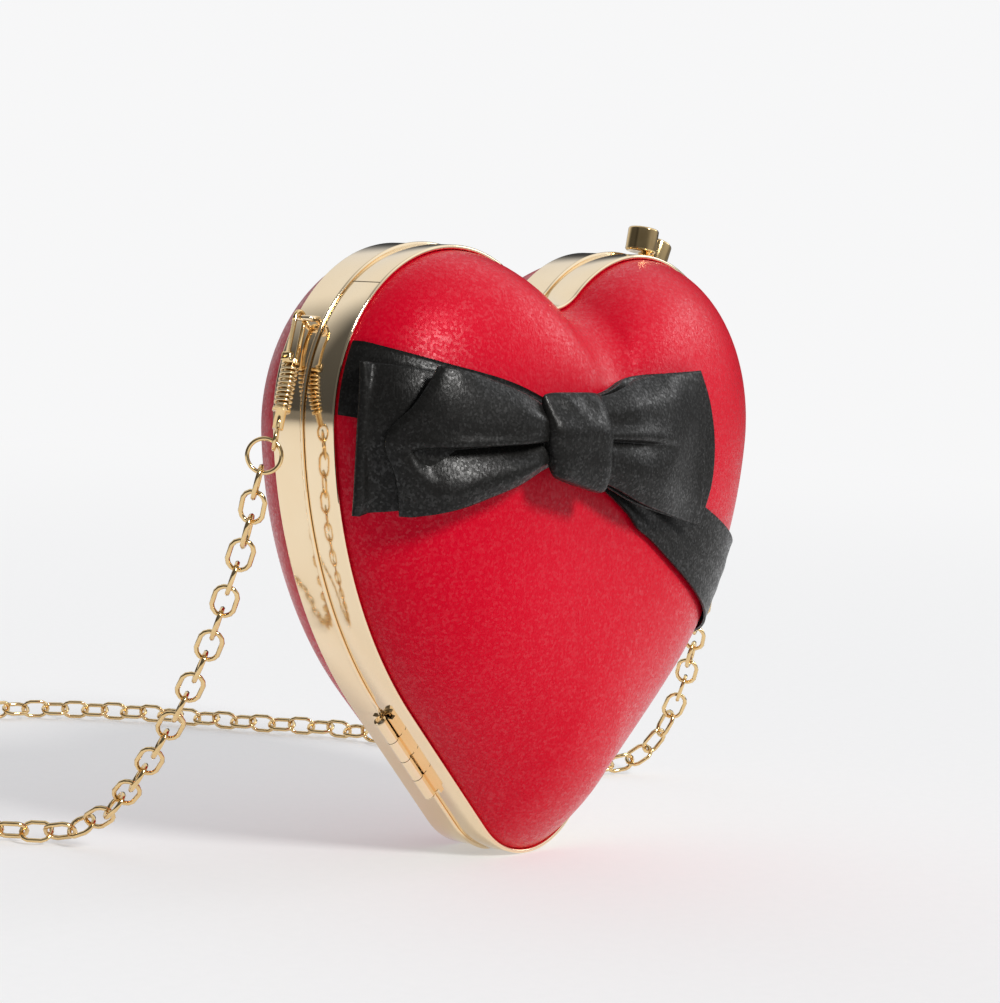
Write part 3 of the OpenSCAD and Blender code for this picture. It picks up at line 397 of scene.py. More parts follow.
def edge_half(tip, flank, shoulder, lobe, cleft, extra=()):
    """Points and outward directions from the tip up the right side to the cleft."""
    points = []
    for i in range(tip):
        a = -math.pi / 2 + (flank_a + math.pi / 2) * i / tip
        points.append((tip_centre + tip_r * towards(a), towards(a)))
    for t in sorted(list(np.arange(flank) / flank) + [1 - e / flank_len for e in extra]):
        points.append((flank_low + (flank_top - flank_low) * t, towards(flank_a)))
    for i in range(shoulder):
        a = flank_a - (shoulder_drop + flank_a) * i / shoulder
        points.append((shoulder_centre + shoulder_r * towards(a), towards(a)))
    for i in range(lobe):
        a = -shoulder_drop + (cleft_turn + shoulder_drop) * i / lobe
        points.append((lobe_centre + lobe_r * towards(a), towards(a)))
    for i in range(cleft + 1):
        a = cleft_turn - math.pi + (math.pi / 2 - cleft_turn) * i / cleft
        points.append((cleft_centre + cleft_r * towards(a), -towards(a)))
    return points


def whole_edge(*steps, extra=()):
    half = edge_half(*steps, extra=extra)
    flip = np.array((-1.0, 1.0))
    return half + [(p * flip, n * flip) for p, n in half[-2:0:-1]]


def placed(name, mesh, material, body, nodes, sharp=35):
    """Smooths a mesh except at its sharp edges, and makes it a piece of this body."""
    mesh.shade_smooth()
    mesh.set_sharp_from_angle(angle=math.radians(sharp))
    mesh.materials.append(material)
    piece = bpy.data.objects.new(name, mesh)
    bpy.context.collection.objects.link(piece)
    if nodes:
        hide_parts(*nodes)
    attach(piece, body)
    return piece


def piece_of(name, points, faces, material, body, slot, sharp=35, nodes=()):
    """A mesh object from points in millimetres: doubles merged, faces outwards."""
    mesh = bpy.data.meshes.new(name)
    mesh.from_pydata([tuple(float(v) * MM for v in p) for p in points], [], faces)
    tidy = bmesh.new()
    tidy.from_mesh(mesh)
    bmesh.ops.remove_doubles(tidy, verts=tidy.verts, dist=1e-6)
    bmesh.ops.recalc_face_normals(tidy, faces=tidy.faces)
    tidy.to_mesh(mesh)
    tidy.free()
    return placed(name, mesh, material, body, nodes, sharp)


def swept(rings, closed_way=True, closed_ring=True):
    """Faces over rings of equal length; returns the flat list of points and the faces."""
    rows, count = len(rings), len(rings[0])
    points = [p for ring in rings for p in ring]
    faces = []
    for k in range(rows if closed_way else rows - 1):
        low, high = k * count, ((k + 1) % rows) * count
        for i in range(count if closed_ring else count - 1):
            j = (i + 1) % count
            faces.append((low + i, low + j, high + j, high + i))
    return points, faces


edge_soft = 0.16
lip_steps, bead_steps = 8, 12


def frame_rings(section, edge):
    rings = []
    for p, n in edge:
        from_top = p - flank_top * (-1, 1)
        on_left = p[0] < 0 and abs(np.dot(from_top, n)) < on_flank
        down = np.linalg.norm(from_top) - hinge_start
        in_hinge = on_left and -hinge_room < down < hinge_len + hinge_room
        ring = []
        for out, h, share in section:
            e = p + (out + share * (0.0 if in_hinge else 1.0)) * n
            ring.append((e[0], -h, max(e[1], tip_flat)))
        rings.append(ring)
    return rings


def corner(out, h, out_side, h_side):
    """Three points that round off an edge of the strip's section."""
    s, near_corner = edge_soft, 0.3
    return [(out + out_side * s, h, 0),
            (out + out_side * near_corner * s, h + h_side * near_corner * s, 0),
            (out, h + h_side * s, 0)]


lip = wall / 2
front_section = corner(-wall, seam_gap / 2, 1, 1)[::-1] + corner(0, seam_gap / 2, -1, 1)
for i in range(lip_steps + 1):
    a = math.pi * i / lip_steps
    front_section.append((lip * (math.cos(a) - 1), front_depth - lip + lip * math.sin(a), 0))
tongue_in, tongue_weld, tongue_root = wall + tongue_gap, 0.8, 2.0
back_section = [(-edge_soft, -seam_gap / 2, 0), (-wall, -seam_gap / 2, 0),
                (-wall, -tongue_weld, 0), (-tongue_in, -tongue_weld, 0),
                (-tongue_in, tongue_h, 0), (-tongue_in - tongue_t, tongue_h, 0),
                (-tongue_in - tongue_t, -tongue_root, 0), (-wall, -tongue_root, 0)]
for i in range(lip_steps + 1):
    a = math.pi * i / lip_steps
    back_section.append((-lip * (math.cos(a) + 1), lip - back_depth - lip * math.sin(a), 0))
for i in range(bead_steps + 1):
    a = math.radians(-bead_turn + 2 * bead_turn * i / bead_steps)
    back_section.append((0, bead_r * math.sin(a) - bead_back, bead_r * math.cos(a)))

band_gold = plated("polished gold band", (0.98, 0.81, 0.57, 1), (0.93, 0.73, 0.47, 1),
                   0.05, 0.11, 90.0)
just_inside = 0.01
hinge_marks = (hinge_start - hinge_room - bead_ramp, hinge_start - hinge_room + just_inside,
               hinge_start + hinge_len + hinge_room - just_inside,
               hinge_start + hinge_len + hinge_room + bead_ramp)
fine_edge = whole_edge(24, 20, 30, 70, 26, extra=hinge_marks)
piece_of("rear_band", *swept(frame_rings(back_section, fine_edge)), band_gold,
         "back_half", "gold_polished", nodes=("back_frame",))
piece_of("front_band", *swept(frame_rings(front_section, fine_edge)), band_gold,
         "front_half", "gold_polished", nodes=("front_frame",))

# The butt joint: a hair wide line across the strip, dark with polish left in it.
joint_turn, joint_w, joint_deep, joint_proud = math.radians(130), 0.28, 0.12, 0.012
joint_off_seam, joint_off_lip = 0.1, 0.3
joint_material, start, place = finish_of("joint line")
dirt = place.noise(2500.0, 2.0)
surface(start, {"Base Color": dirt.mixed((0.05, 0.035, 0.02, 1), (0.16, 0.11, 0.05, 1)),
                "Roughness": dirt * 0.3 + 0.45, "Metallic": 0.5})
joint_points = []
for h in (seam_gap / 2 + joint_off_seam, front_depth - joint_off_lip):
    for d in (-joint_w / 2, joint_w / 2):
        for out in (-joint_deep, joint_proud):
            a = joint_turn + d / lobe_r
            e = np.array((-lobe_x, lobe_z)) + (lobe_r + out) * towards(a)
            joint_points.append((e[0], -h, e[1]))
joint_faces = [(0, 1, 3, 2), (4, 6, 7, 5), (0, 4, 5, 1), (2, 3, 7, 6), (0, 2, 6, 4),
               (1, 5, 7, 3)]
piece_of("butt_joint_line", joint_points, joint_faces, joint_material, "front_half",
         "gold_polished")

# ---------------------------------------------------------------------------------------
# The covers: deep red satin stretched over the two moulded halves and glued round their
# edges, behind the lips of the frames. The cloth is taut, with a fine pinkish sparkle of
# its weave wherever light strikes it.
# ---------------------------------------------------------------------------------------
crown = np.array((0.0, 86.0))
bulge, fullness, side_round, tip_round, level_power = 25.0, 4.0, 1.55, 1.0, 6
rings_to_rim, crown_near = 2.2, 0.02
edge_sink, cover_inset, cover_t, shell_t, layer_gap = 0.6, 0.15, 0.5, 1.5, 0.08
cover_in = wall + cover_inset
cover_skirt, edge_h, back_edge_h = 5.1, front_depth - edge_sink, back_depth - edge_sink


def edge_round(d):
    if d[1] > 0:
        return side_round
    level = abs(d[1]) / max(math.hypot(d[0], d[1]), crown_near)
    return tip_round + (side_round - tip_round) * (1 - level ** level_power)


def rise(share, d, height):
    return height * max(0.0, 1 - share ** fullness) ** (1 / edge_round(d))


def dome_rings(inset, foot, base_h, height, steps, rows):
    """Rings of a dome from its turned-in foot over the edge to the crown point."""
    rings = []
    for row in range(rows + 1):
        share = 1 - (row / rows) ** rings_to_rim if row < rows else 0.0
        ring = []
        for p, n in steps:
            d = (p - inset * n) - crown
            h = base_h + rise(share, d, height)
            ring.append((crown[0] + share * d[0], h, crown[1] + share * d[1]))
        rings.append(ring)
    edge_ring = [(x, foot, z) for x, _, z in rings[0]]
    return [edge_ring] + rings


def dome_piece(name, face, inset, foot, base_h, height, thick, material, body, slot, nodes,
               rows=40):
    """face is -1 for the front half and 1 for the rear one."""
    outer = dome_rings(inset, foot, base_h, height, fine_edge, rows)
    inner = dome_rings(inset + thick, foot, base_h, height - thick, fine_edge, rows)
    rings = [[(x, face * h, z) for x, h, z in ring] for ring in inner[::-1] + outer]
    return piece_of(name, *swept(rings, closed_way=False), material, body, slot, 60, nodes)


red_satin, start, place = finish_of("deep red satin")
floats = (place * (1.0, 1.0, 0.4)).noise(1700.0, 2.0, Roughness=0.6)
spark = start.node("TexVoronoi", {"feature": "F1"}, {"Vector": place, "Scale": 1700.0}, "Color")
spark_value = start.node("SeparateColor", {}, {0: spark}, 0)
cloud = place.noise(26.0, 4.0)
weft = start.node("TexWave", {"bands_direction": "Z"}, {
    "Vector": place, "Scale": 1500.0, "Distortion": 1.2, "Detail": 1.0})
deep_red, bright_red = (0.52, 0.0, 0.011, 1), (0.61, 0.0006, 0.02, 1)
tone = (cloud * 0.8 + spark_value * 0.2).mixed(deep_red, bright_red)
bump = start.node("Bump", {}, {"Strength": 1.0, "Distance": 0.00011,
                               "Height": floats * 0.8 + weft * 0.1})
surface(start, {"Base Color": tone, "Roughness": 0.36 - spark_value * 0.1, "Normal": bump,
                "Coat Weight": spark_value ** 2.8, "Coat Roughness": 0.38,
                "Coat IOR": 1.33,
                "Sheen Weight": 0.02, "Sheen Roughness": 0.3,
                "Sheen Tint": (1.0, 0.1, 0.15, 1.0), "Specular IOR Level": 0.34,
                "Specular Tint": (1.0, 0.12, 0.18, 1.0)})
front_cover = dome_piece("front_satin", -1, cover_in, cover_skirt, edge_h, bulge, cover_t,
                         red_satin, "front_half", "satin_red", ("front_cover",))
back_cover = dome_piece("rear_satin", 1, cover_in, cover_skirt, back_edge_h, bulge, cover_t,
                        red_satin, "back_half", "satin_red", ("back_cover",))

# ---------------------------------------------------------------------------------------
# Shells and linings: each half is moulded in board, and lined inside with black short
# pile cloth that is glued in and turned over at the rim. Both show only when it is open.
# ---------------------------------------------------------------------------------------
shell_in = cover_in + cover_t + layer_gap
lining_in = shell_in + shell_t + layer_gap
shell_skirt, lining_t = 2.2, 0.5


pile, start, place = finish_of("black lining pile")
nap = place.noise(1400.0, 4.0)
brushed = place.noise(45.0, 2.0)
bump = start.node("Bump", {}, {"Strength": 0.6, "Distance": 0.0003, "Height": nap})
surface(start, {"Base Color": (nap * 0.5 + brushed * 0.5).mixed(
    (0.012, 0.012, 0.012, 1), (0.045, 0.043, 0.042, 1)), "Roughness": brushed * 0.2 + 0.72,
    "Normal": bump, "Sheen Weight": 0.5, "Sheen Roughness": 0.4})

board, start, place = finish_of("moulded board")
fibre = place.noise(700.0, 5.0)
bump = start.node("Bump", {}, {"Strength": 0.3, "Distance": 0.0002, "Height": fibre})
surface(start, {"Base Color": fibre.mixed((0.22, 0.20, 0.17, 1), (0.36, 0.33, 0.29, 1)),
                "Roughness": fibre * 0.2 + 0.7, "Normal": bump})

for half, face, base_h in (("front", -1, edge_h), ("back", 1, back_edge_h)):
    dome_piece(half + "_board", face, shell_in, shell_skirt, base_h, bulge - cover_t - layer_gap,
               shell_t, board, half + "_half", "moulded_board", (half + "_shell",), 24)
    lining = dome_piece(half + "_pile", face, lining_in, shell_skirt, base_h,
                        bulge - cover_t - shell_t - 2 * layer_gap, lining_t, pile,
                        half + "_half", "lining_black", (half + "_lining",), 24)
    half + "_board"

# ---------------------------------------------------------------------------------------
# The side hinge: two leaves with two knuckles each, soldered to the frames on the lower
# left, and a riveted pin through them.
# ---------------------------------------------------------------------------------------


def polished(node, material, body):
    """The CAD piece's own mesh, merged and smoothed, in its finish."""
    tidy = bmesh.new()
    tidy.from_mesh(bpy.data.objects[node].data)
    bmesh.ops.remove_doubles(tidy, verts=tidy.verts, dist=2e-6)
    mesh = bpy.data.meshes.new(node + "_finished")
    tidy.to_mesh(mesh)
    tidy.free()
    placed(node + "_finished", mesh, material, body, (node,))


polished("rear_hinge_leaf", band_gold, "back_half")
polished("hinge_pin", band_gold, "back_half")
polished("front_hinge_leaf", band_gold, "front_half")

# ---------------------------------------------------------------------------------------
# The kiss clasp: two turned drums of pale gold plated brass whose shanks go through the
# frames and are riveted inside. They snap past each other when the purse is shut.
# ---------------------------------------------------------------------------------------
polished("front_knob", wire_gold, "front_half")
polished("rear_knob", wire_gold, "back_half")

# ---------------------------------------------------------------------------------------
# Lugs and hooks: a wire lug brazed across the rear frame on each side, and in it a bent
# wire hook with a sprung gate, a close wound wire coil round its core, an eye and a thin
# jump ring that takes the chain's end link.
# ---------------------------------------------------------------------------------------
hook_at = np.array((74.729, 4.970, 131.489))
hook_lean, hook_tip = math.radians(21.5), math.radians(7.5)
coil_r, coil_wire, coil_pitch, coil_turns = 1.8, 0.34, 1.1, 9
coil_play, collar_down, collar_t = 0.05, 10.5, 0.8
coil_low = -collar_down - collar_t - (coil_turns * coil_pitch + 2 * (coil_wire + coil_play))
hook_axes = (Matrix.Translation(Vector(hook_at) * MM) @ Matrix.Rotation(-hook_lean, 4, "Y")
             @ Matrix.Rotation(-hook_tip, 4, "X"))

coil_gold = plated("coil gold", (0.90, 0.76, 0.50, 1), (0.72, 0.50, 0.24, 1), 0.1, 0.2, 500.0)
winding = Work("hook coil")
wire = winding.size("Wire radius", coil_wire * MM)
around = winding.size("Coil radius", coil_r * MM)
rise_all = winding.size("Coil length", coil_turns * coil_pitch * MM)
rounds = winding.size("Turns", float(coil_turns))
helix = winding.node("GeometryNodeCurveSpiral", {}, {
    "Resolution": 24, "Rotations": rounds, "Start Radius": around, "End Radius": around,
    "Height": rise_all})
section = winding.node("GeometryNodeCurvePrimitiveCircle", {}, {"Resolution": 10, "Radius": wire})
tube = winding.node("GeometryNodeCurveToMesh", {}, {
    0: helix, "Profile Curve": section, "Fill Caps": True})
winding.end(tube, coil_gold)
for side_name, sign in (("left", -1.0), ("right", 1.0)):
    coil = winding.make(side_name + "_wire_coil", bpy.data.meshes.new("empty"))
    flip = Matrix.Diagonal((sign, 1.0, 1.0, 1.0))
    coil.data.transform(flip @ hook_axes @ Matrix.Translation(
        (0.0, 0.0, (coil_low + coil_wire + coil_play) * MM)))
    if sign < 0:
        coil.data.flip_normals()
    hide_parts(side_name + "_ferrule")
    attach(coil, "back_half")
    polished(side_name + "_lug", band_gold, "back_half")
    polished(side_name + "_hook", wire_gold, "back_half")
    polished(side_name + "_gate", wire_gold, side_name + "_gate_body")
    polished(side_name + "_gate_pin", band_gold, "back_half")
    polished(side_name + "_ring", wire_gold, "back_half")

# ---------------------------------------------------------------------------------------
# The sash: a band of black satin shot with a silvery thread, drawn slantwise over the
# front dome and glued behind the frame's lip at both ends.
# ---------------------------------------------------------------------------------------
sash_lift, sash_t, rim_share = 0.55, 0.6, 0.9985


def hit_out(o, r, d):
    v = crown - o
    b = v.dot(d)
    return -b + math.sqrt(max(0.0, b * b - v.dot(v) + r * r))


def turn_of(p):
    return math.atan2(p[1] - crown[1], p[0] - crown[0])


flank_n = towards(flank_a)
turn_marks = (turn_of(flank_low - cover_in * flank_n), turn_of(flank_top - cover_in * flank_n),
              turn_of(lobe_centre + (lobe_r - cover_in) * towards(-shoulder_drop)),
              turn_of(lobe_centre + (lobe_r - cover_in) * towards(cleft_turn)))


def reach_at(a):
    """Distance from the crown point to the cover's edge, for a direction on the right."""
    d = towards(a)
    low, high, lobe_from, lobe_to = turn_marks
    if a < low:
        return hit_out(tip_centre, tip_r - cover_in, d)
    if a < high:
        return (flank_top - cover_in * flank_n - crown).dot(flank_n) / d.dot(flank_n)
    if a < lobe_from:
        return hit_out(shoulder_centre, shoulder_r - cover_in, d)
    if a < lobe_to:
        return hit_out(lobe_centre, lobe_r - cover_in, d)
    v = crown - cleft_centre
    b = v.dot(d)
    return -b - math.sqrt(b * b - v.dot(v) + (cleft_r + cover_in) ** 2)


def cover_h(x, z):
    """Height of the front cover above the seam plane."""
    d = np.array((abs(x), z)) - crown
    share = min(rim_share, np.linalg.norm(d) / reach_at(math.atan2(d[1], d[0])))
    return edge_h + rise(share, d, bulge)


def over_cover(x, z, lift, step=0.4):
    """Point above the front cover, lifted along its own direction."""
    gx = (cover_h(x + step, z) - cover_h(x - step, z)) / (2 * step)
    gz = (cover_h(x, z + step) - cover_h(x, z - step)) / (2 * step)
    n = unit(np.array((-gx, -gz, 1.0)))
    return (x + n[0] * lift, -(cover_h(x, z) + n[2] * lift), z + n[1] * lift)


black_satin, start, place = finish_of("black satin with silver thread")
grain = place.noise(1700.0, 2.0, Roughness=0.6)
fleck = start.node("TexVoronoi", {"feature": "F1"}, {
    "Vector": place, "Scale": 1900.0}, "Color")
fleck_value = start.node("SeparateColor", {}, {0: fleck}, 1)
streak = (place * (1.0, 1.0, 0.3) + place * (0.5, 0.5, 0.0)).noise(1500.0, 1.0)
tone = (grain * 0.6 + fleck_value * 0.4).mixed((0.006, 0.0058, 0.0054, 1),
                                               (0.013, 0.0125, 0.0115, 1))
bump = start.node("Bump", {}, {"Strength": 1.0, "Distance": 0.00011,
                               "Height": grain * 0.4 + streak * 0.5})
surface(start, {"Base Color": tone, "Roughness": 0.40 - fleck_value * 0.12, "Normal": bump,
                "Coat Weight": (fleck_value * 0.75 + streak * 0.4) ** 4.0,
                "Coat Roughness": 0.36, "Coat IOR": 1.4,
                "Sheen Weight": 0.01, "Sheen Roughness": 0.4, "Specular IOR Level": 0.13})

# the sash's two edges, as degrees round the crown point and the share of the way to the rim
sash_top_marks = [(150.4, rim_share), (149.8, 0.936), (147.8, 0.823), (141.3, 0.62),
                  (129.8, 0.397), (90, 0.319), (54, 0.23), (19.8, 0.263), (2.2, 0.467),
                  (-5.2, 0.667), (-8.8, 0.84), (-10.9, rim_share)]
sash_low_marks = [(162.3, rim_share), (161.6, 0.865), (159.2, 0.658), (155, 0.402),
                  (145.6, 0.171), (90, 0.031), (-28, 0.09), (-28, 0.183), (-30.3, 0.351),
                  (-30.9, 0.532), (-31.2, 0.77), (-31.3, rim_share)]


def polar_point(mark):
    d = towards(math.radians(mark[0]))
    return crown + mark[1] * reach_at(math.atan2(d[1], abs(d[0]))) * d


def drawn(points, count):
    """A smooth line of count points through these ones."""
    points = np.array(points, float)
    last = len(points) - 1
    line = []
    for i in range(count):
        s = last * i / (count - 1)
        k = min(int(s), last - 1)
        line.append(smooth_between(points, k, s - k))
    return line


sash_long, sash_wide = 150, 30
top_line = drawn([polar_point(m) for m in sash_top_marks], sash_long)
low_line = drawn([polar_point(m) for m in sash_low_marks], sash_long)


def smooth_step(a, b, t):
    t = min(1.0, max(0.0, (t - a) / (b - a)))
    return t * t * (3 - 2 * t)


def share_of(p):
    """How far out from the crown this point lies, as a share of the way to the rim."""
    d = p - crown
    return math.hypot(d[0], d[1]) / reach_at(math.atan2(d[1], abs(d[0])))


fold_h, gather_h, hem_h = 0.25, 0.7, 0.3
gather_at, gather_w, hem_w, tuck_w = 0.36, 0.22, 0.035, 0.03


def sash_lift_at(s, v):
    """Lift of the sash above the satin: soft long folds that gather towards the knot."""
    gather = math.exp(-((s - gather_at) / gather_w) ** 2)
    folds = 0.5 + 0.5 * math.sin(v * 17 + 3 * s) * math.cos(v * 7 - 5 * s)
    rolled = math.exp(-(min(v, 1 - v) / hem_w) ** 2)
    tucked = smooth_step(0.0, tuck_w, min(s, 1 - s))
    return tucked * (sash_lift + fold_h * folds + gather_h * gather * folds + hem_h * rolled)


def sash_ring(k, extra):
    ring = []
    share_low, share_top = share_of(low_line[k]), share_of(top_line[k])
    to_rim = smooth_step(0.85, 0.98, min(share_low, share_top))
    for j in range(sash_wide + 1):
        v = j / sash_wide
        p = low_line[k] + (top_line[k] - low_line[k]) * v
        wanted = share_low + (share_top - share_low) * v
        p = crown + (p - crown) * (1 + to_rim * (wanted / share_of(p) - 1))
        ring.append(over_cover(p[0], p[1], sash_lift_at(k / (sash_long - 1), v) + extra))
    return ring


sash_rings = [sash_ring(k, 0.0) + sash_ring(k, sash_t)[::-1] for k in range(sash_long)]
sash_points, sash_faces = swept(sash_rings, closed_way=False)
ring_count = len(sash_rings[0])
sash_faces.append(tuple(range(ring_count)))
sash_faces.append(tuple((sash_long - 1) * ring_count + i for i in range(ring_count))[::-1])
sash = piece_of("black_sash", sash_points, sash_faces, black_satin, "front_half",
                "satin_black", 50, ("sash",))

# ---------------------------------------------------------------------------------------
# The bow: two flattened loops of the same black satin, one on the other, drawn together
# in pleats by the knot and sewn to the sash. The cloth folds back on itself at the loops'
# ends, and its edges are rolled and hemmed.
# ---------------------------------------------------------------------------------------
bow_x, bow_gap, bow_stand, bow_clear, bow_ease = -30.0, 0.35, 13.0, 0.9, 1.5
rear_thick, front_thick, cloth_thick, loops_apart, least_lift = 2.0, 6.0, 0.5, 0.6, 0.15


def cloth_base(x, z):
    """Height of the bow's underside: over the sash, and straight out beyond the edge."""
    over, middling = cover_h(x, z) + sash_lift + sash_t + bow_gap + bow_clear, 20
    return middling + bow_ease * math.log(math.exp((over - middling) / bow_ease)
                                          + math.exp((bow_stand - middling) / bow_ease))


def bow_point(x, z, lift):
    return (x, -(cloth_base(x, z) + lift), z)


def table_of(points, count=80):
    """A smooth curve through these points, read by its first value."""
    line = np.array(drawn(points, count))
    return lambda t: float(np.interp(t, line[:, 0], line[:, 1]))


# half height, and middle height, of the loops at each share of the way out from the knot
left_tall = table_of([(0, 0.34), (0.2, 0.42), (0.42, 0.64), (0.72, 0.86), (1, 1)])
right_tall = table_of([(0, 0.46), (0.25, 0.55), (0.55, 0.81), (1, 1)])
left_middle = table_of([(0, 106.6), (0.5, 106.2), (1, 105.4)])
right_middle = table_of([(0, 106.4), (0.5, 105.0), (1, 102.8)])


def creases(u, v, side):
    """Small unevenness of stiff satin: soft dents along the loop and near the knot."""
    drawn_in = (1 - u) ** 2.2
    pulled = 0.45 * math.sin(v * 8.0 + 1.3 * side) + 0.25 * math.sin(v * 15.0 - 3.0 * u)
    slack = 0.16 * math.sin(5.0 * u + 2.6 * v + side) + 0.07 * math.sin(11.0 * u - 6.0 * v)
    return drawn_in * pulled + slack * smooth_step(0.1, 0.5, u)


def wedge(u, v, side):
    """The deep pleat from the knot along the loop: its upper lip hangs over the lower."""
    if side < 0:
        middle, depth = -0.12, 5.2 * smooth_step(0.05, 0.4, u) * (1 - smooth_step(0.88, 1.0, u))
        above, below, lip = 0.03, 0.66, 0.35
    else:
        middle, depth = -0.02, 2.2 * smooth_step(0.1, 0.3, u) * (1 - smooth_step(0.4, 0.75, u))
        above, below, lip = 0.04, 0.4, 0.4
    t = v - middle
    groove = math.exp(-(t / above) ** 2) if t > 0 else max(0.0, 1 + t / below) ** 1.25
    swell = lip * math.exp(-((t - 3 * above) / (3 * above)) ** 2)
    return swell * min(1.0, depth) - depth * groove


def loop_strip(side, reach, half, low, end_low, thick, end_thick, end_shape, deep):
    """One loop as a folded strip: out in front, round the end, and back behind."""
    steps_out, steps_wide, fold = 60, 76, 10
    tall_at, middle_at = (left_tall, left_middle) if side < 0 else (right_tall, right_middle)
    way = [(i / steps_out, 1.0) for i in range(steps_out)]
    way += [(1.0, math.cos(math.pi * i / fold)) for i in range(fold + 1)]
    way += [(1 - i / steps_out, -1.0) for i in range(1, steps_out + 1)]
    rings = []
    for u, front in way:
        ring = []
        opened = smooth_step(0.55, 1.0, u)
        under = low + (end_low - low) * opened
        puff = 0.5 + 0.5 * smooth_step(0.0, 0.45, u)
        for j in range(steps_wide + 1):
            v = -1 + 2 * j / steps_wide
            edge = 0.5 + 0.5 * (1 - abs(v) ** 4)
            full = (thick * puff * (1 - opened) + end_thick * opened) * edge
            round_end = math.sqrt(max(0.0, 1 - front * front)) * 0.5 * end_thick
            x = bow_x + side * (reach * u + end_shape(v) * u ** 2 + round_end)
            z = middle_at(u) + half * tall_at(u) * v
            share = 0.5 + 0.5 * front
            lift = under + full * share
            lift += share * deep * (creases(u, v, side) + wedge(u, v, side))
            ring.append(bow_point(x, z, max(lift, least_lift + under * 0.3)))
        rings.append(ring)
    return swept(rings, closed_way=False, closed_ring=False)


def bow_layer(name, loops, node):
    points, faces = [], []
    for loop in loops:
        more, more_faces = loop_strip(*loop)
        start_at = len(points)
        points += more
        faces += [tuple(start_at + i for i in (f if loop[0] > 0 else f[::-1]))
                  for f in more_faces]
    piece = piece_of(name, points, faces, black_satin, "front_half", "satin_black", 180,
                     (node,))
    cloth = piece.modifiers.new("cloth", "SOLIDIFY")
    cloth.thickness = cloth_thick * MM
    cloth.offset = 0.0
    return piece


rear_left_end = table_of([(-1, 0.3), (0, 0.0), (1, -0.5)])
rear_right_end = table_of([(-1, -4.0), (-0.5, 0.0), (0, 0.8), (0.5, -1.0), (1, -4.5)])
front_left_end = table_of([(-1, -3.4), (-0.5, -1.5), (0.05, 0.6), (0.5, -3.2), (1, -8.2)])
front_right_end = table_of([(-1, 0.2), (-0.4, 1.2), (0.3, 0.8), (1, -0.6)])
# each loop: its side, reach and half height, its lift and thickness at the knot and at its
# end, the outline of that end, and how deep its folds are
rear_loops = bow_layer("bow_rear_loops", (
    (-1, 46.2, 17.4, 0.1, 2.2, rear_thick, 2.4, rear_left_end, 0.15),
    (1, 62.5, 18.9, 0.1, 0.2, rear_thick, 0.9, rear_right_end, 0.15)), "bow_rear_layer")
front_low = rear_thick + loops_apart
front_loops = bow_layer("bow_front_loops", (
    (-1, 43.6, 17.0, front_low, rear_thick + 5.6, front_thick, 2.4, front_left_end, 1.0),
    (1, 54.0, 18.9, front_low, front_low, front_thick, 0.9, front_right_end, 1.0)),
    "bow_front_layer")

knot_x, knot_z, knot_half_w, knot_half_h, knot_depth = -29.6, 106.0, 10.4, 11.0, 4.4
knot_behind, knot_lean, knot_swing, loops_pressed = 0.8, 0.9, 2.2, 0.6
knot_low = rear_thick + loops_pressed * front_thick + 2 * bow_gap
knot_long, knot_round = 48, 72
# pleats run over the knot's top edge, with a ridge across its middle and a slack hollow below
knot_rings = []
for i in range(knot_long + 1):
    u = -1 + 2 * i / knot_long
    rolled = max(0.0, 1 - abs(u) ** 5) ** 0.5
    ring = []
    for j in range(knot_round):
        a = 2 * math.pi * j / knot_round
        v = math.copysign(abs(math.sin(a)) ** 0.85, math.sin(a))
        front = math.copysign(abs(math.cos(a)) ** 0.75, math.cos(a))
        slant = u + 0.55 * v
        at_top = smooth_step(0.25, 0.85, v)
        folds = 0.45 * at_top * math.sin(6.5 * slant + 0.6) + 0.2 * math.sin(3.0 * slant)
        ridge = 0.5 * math.exp(-((v - 0.2 - 0.06 * math.sin(6 * u)) / 0.35) ** 2)
        slack = 0.5 * math.exp(-((v + 0.15) / 0.3) ** 2)
        tall = knot_half_h * (0.9 + 0.1 * rolled)
        rolled_top = 1 - 0.5 * smooth_step(-0.1, 1.1, v)
        depth = knot_depth * (0.35 + 0.65 * rolled) * rolled_top * max(front, 0.0)
        depth += min(front, 0.0) * knot_behind
        x = knot_x + knot_half_w * u * (1 - 0.10 * max(0.0, -v) - 0.04 * v * v) - knot_lean * v
        z = knot_z + tall * v - knot_swing * u * max(0.0, -v)
        lift = knot_low + depth + (folds + ridge - slack) * max(0.0, front)
        ring.append(bow_point(x, z, lift))
    knot_rings.append(ring)
knot_points, knot_faces = swept(knot_rings, closed_way=False)
knot_faces.append(tuple(range(knot_round))[::-1])
knot_faces.append(tuple(knot_long * knot_round + i for i in range(knot_round)))
piece_of("bow_knot_band", knot_points, knot_faces, black_satin, "front_half",
         "satin_black", 60, ("bow_knot",))

# ---------------------------------------------------------------------------------------
# The studio: a plain pale floor that runs into a pale surround, a broad soft sun in front
# and a weak one on the right. The gold mirrors dark boards beside the camera, behind on
# the left and far right, a bright window on the right and a bright sheet behind.
# ---------------------------------------------------------------------------------------
floor_r, floor_sides = 12.0, 64
paper_white, lights_out = (0.93, 0.93, 0.935, 1), (0.0, 0.0, 0.0, 1)


def eased(value, low, high, first, last):
    """This shader value, eased from first to last between low and high."""
    return value.node("MapRange", {"interpolation_type": "SMOOTHSTEP"}, {
        0: value, 1: low, 2: high, 3: first, 4: last})


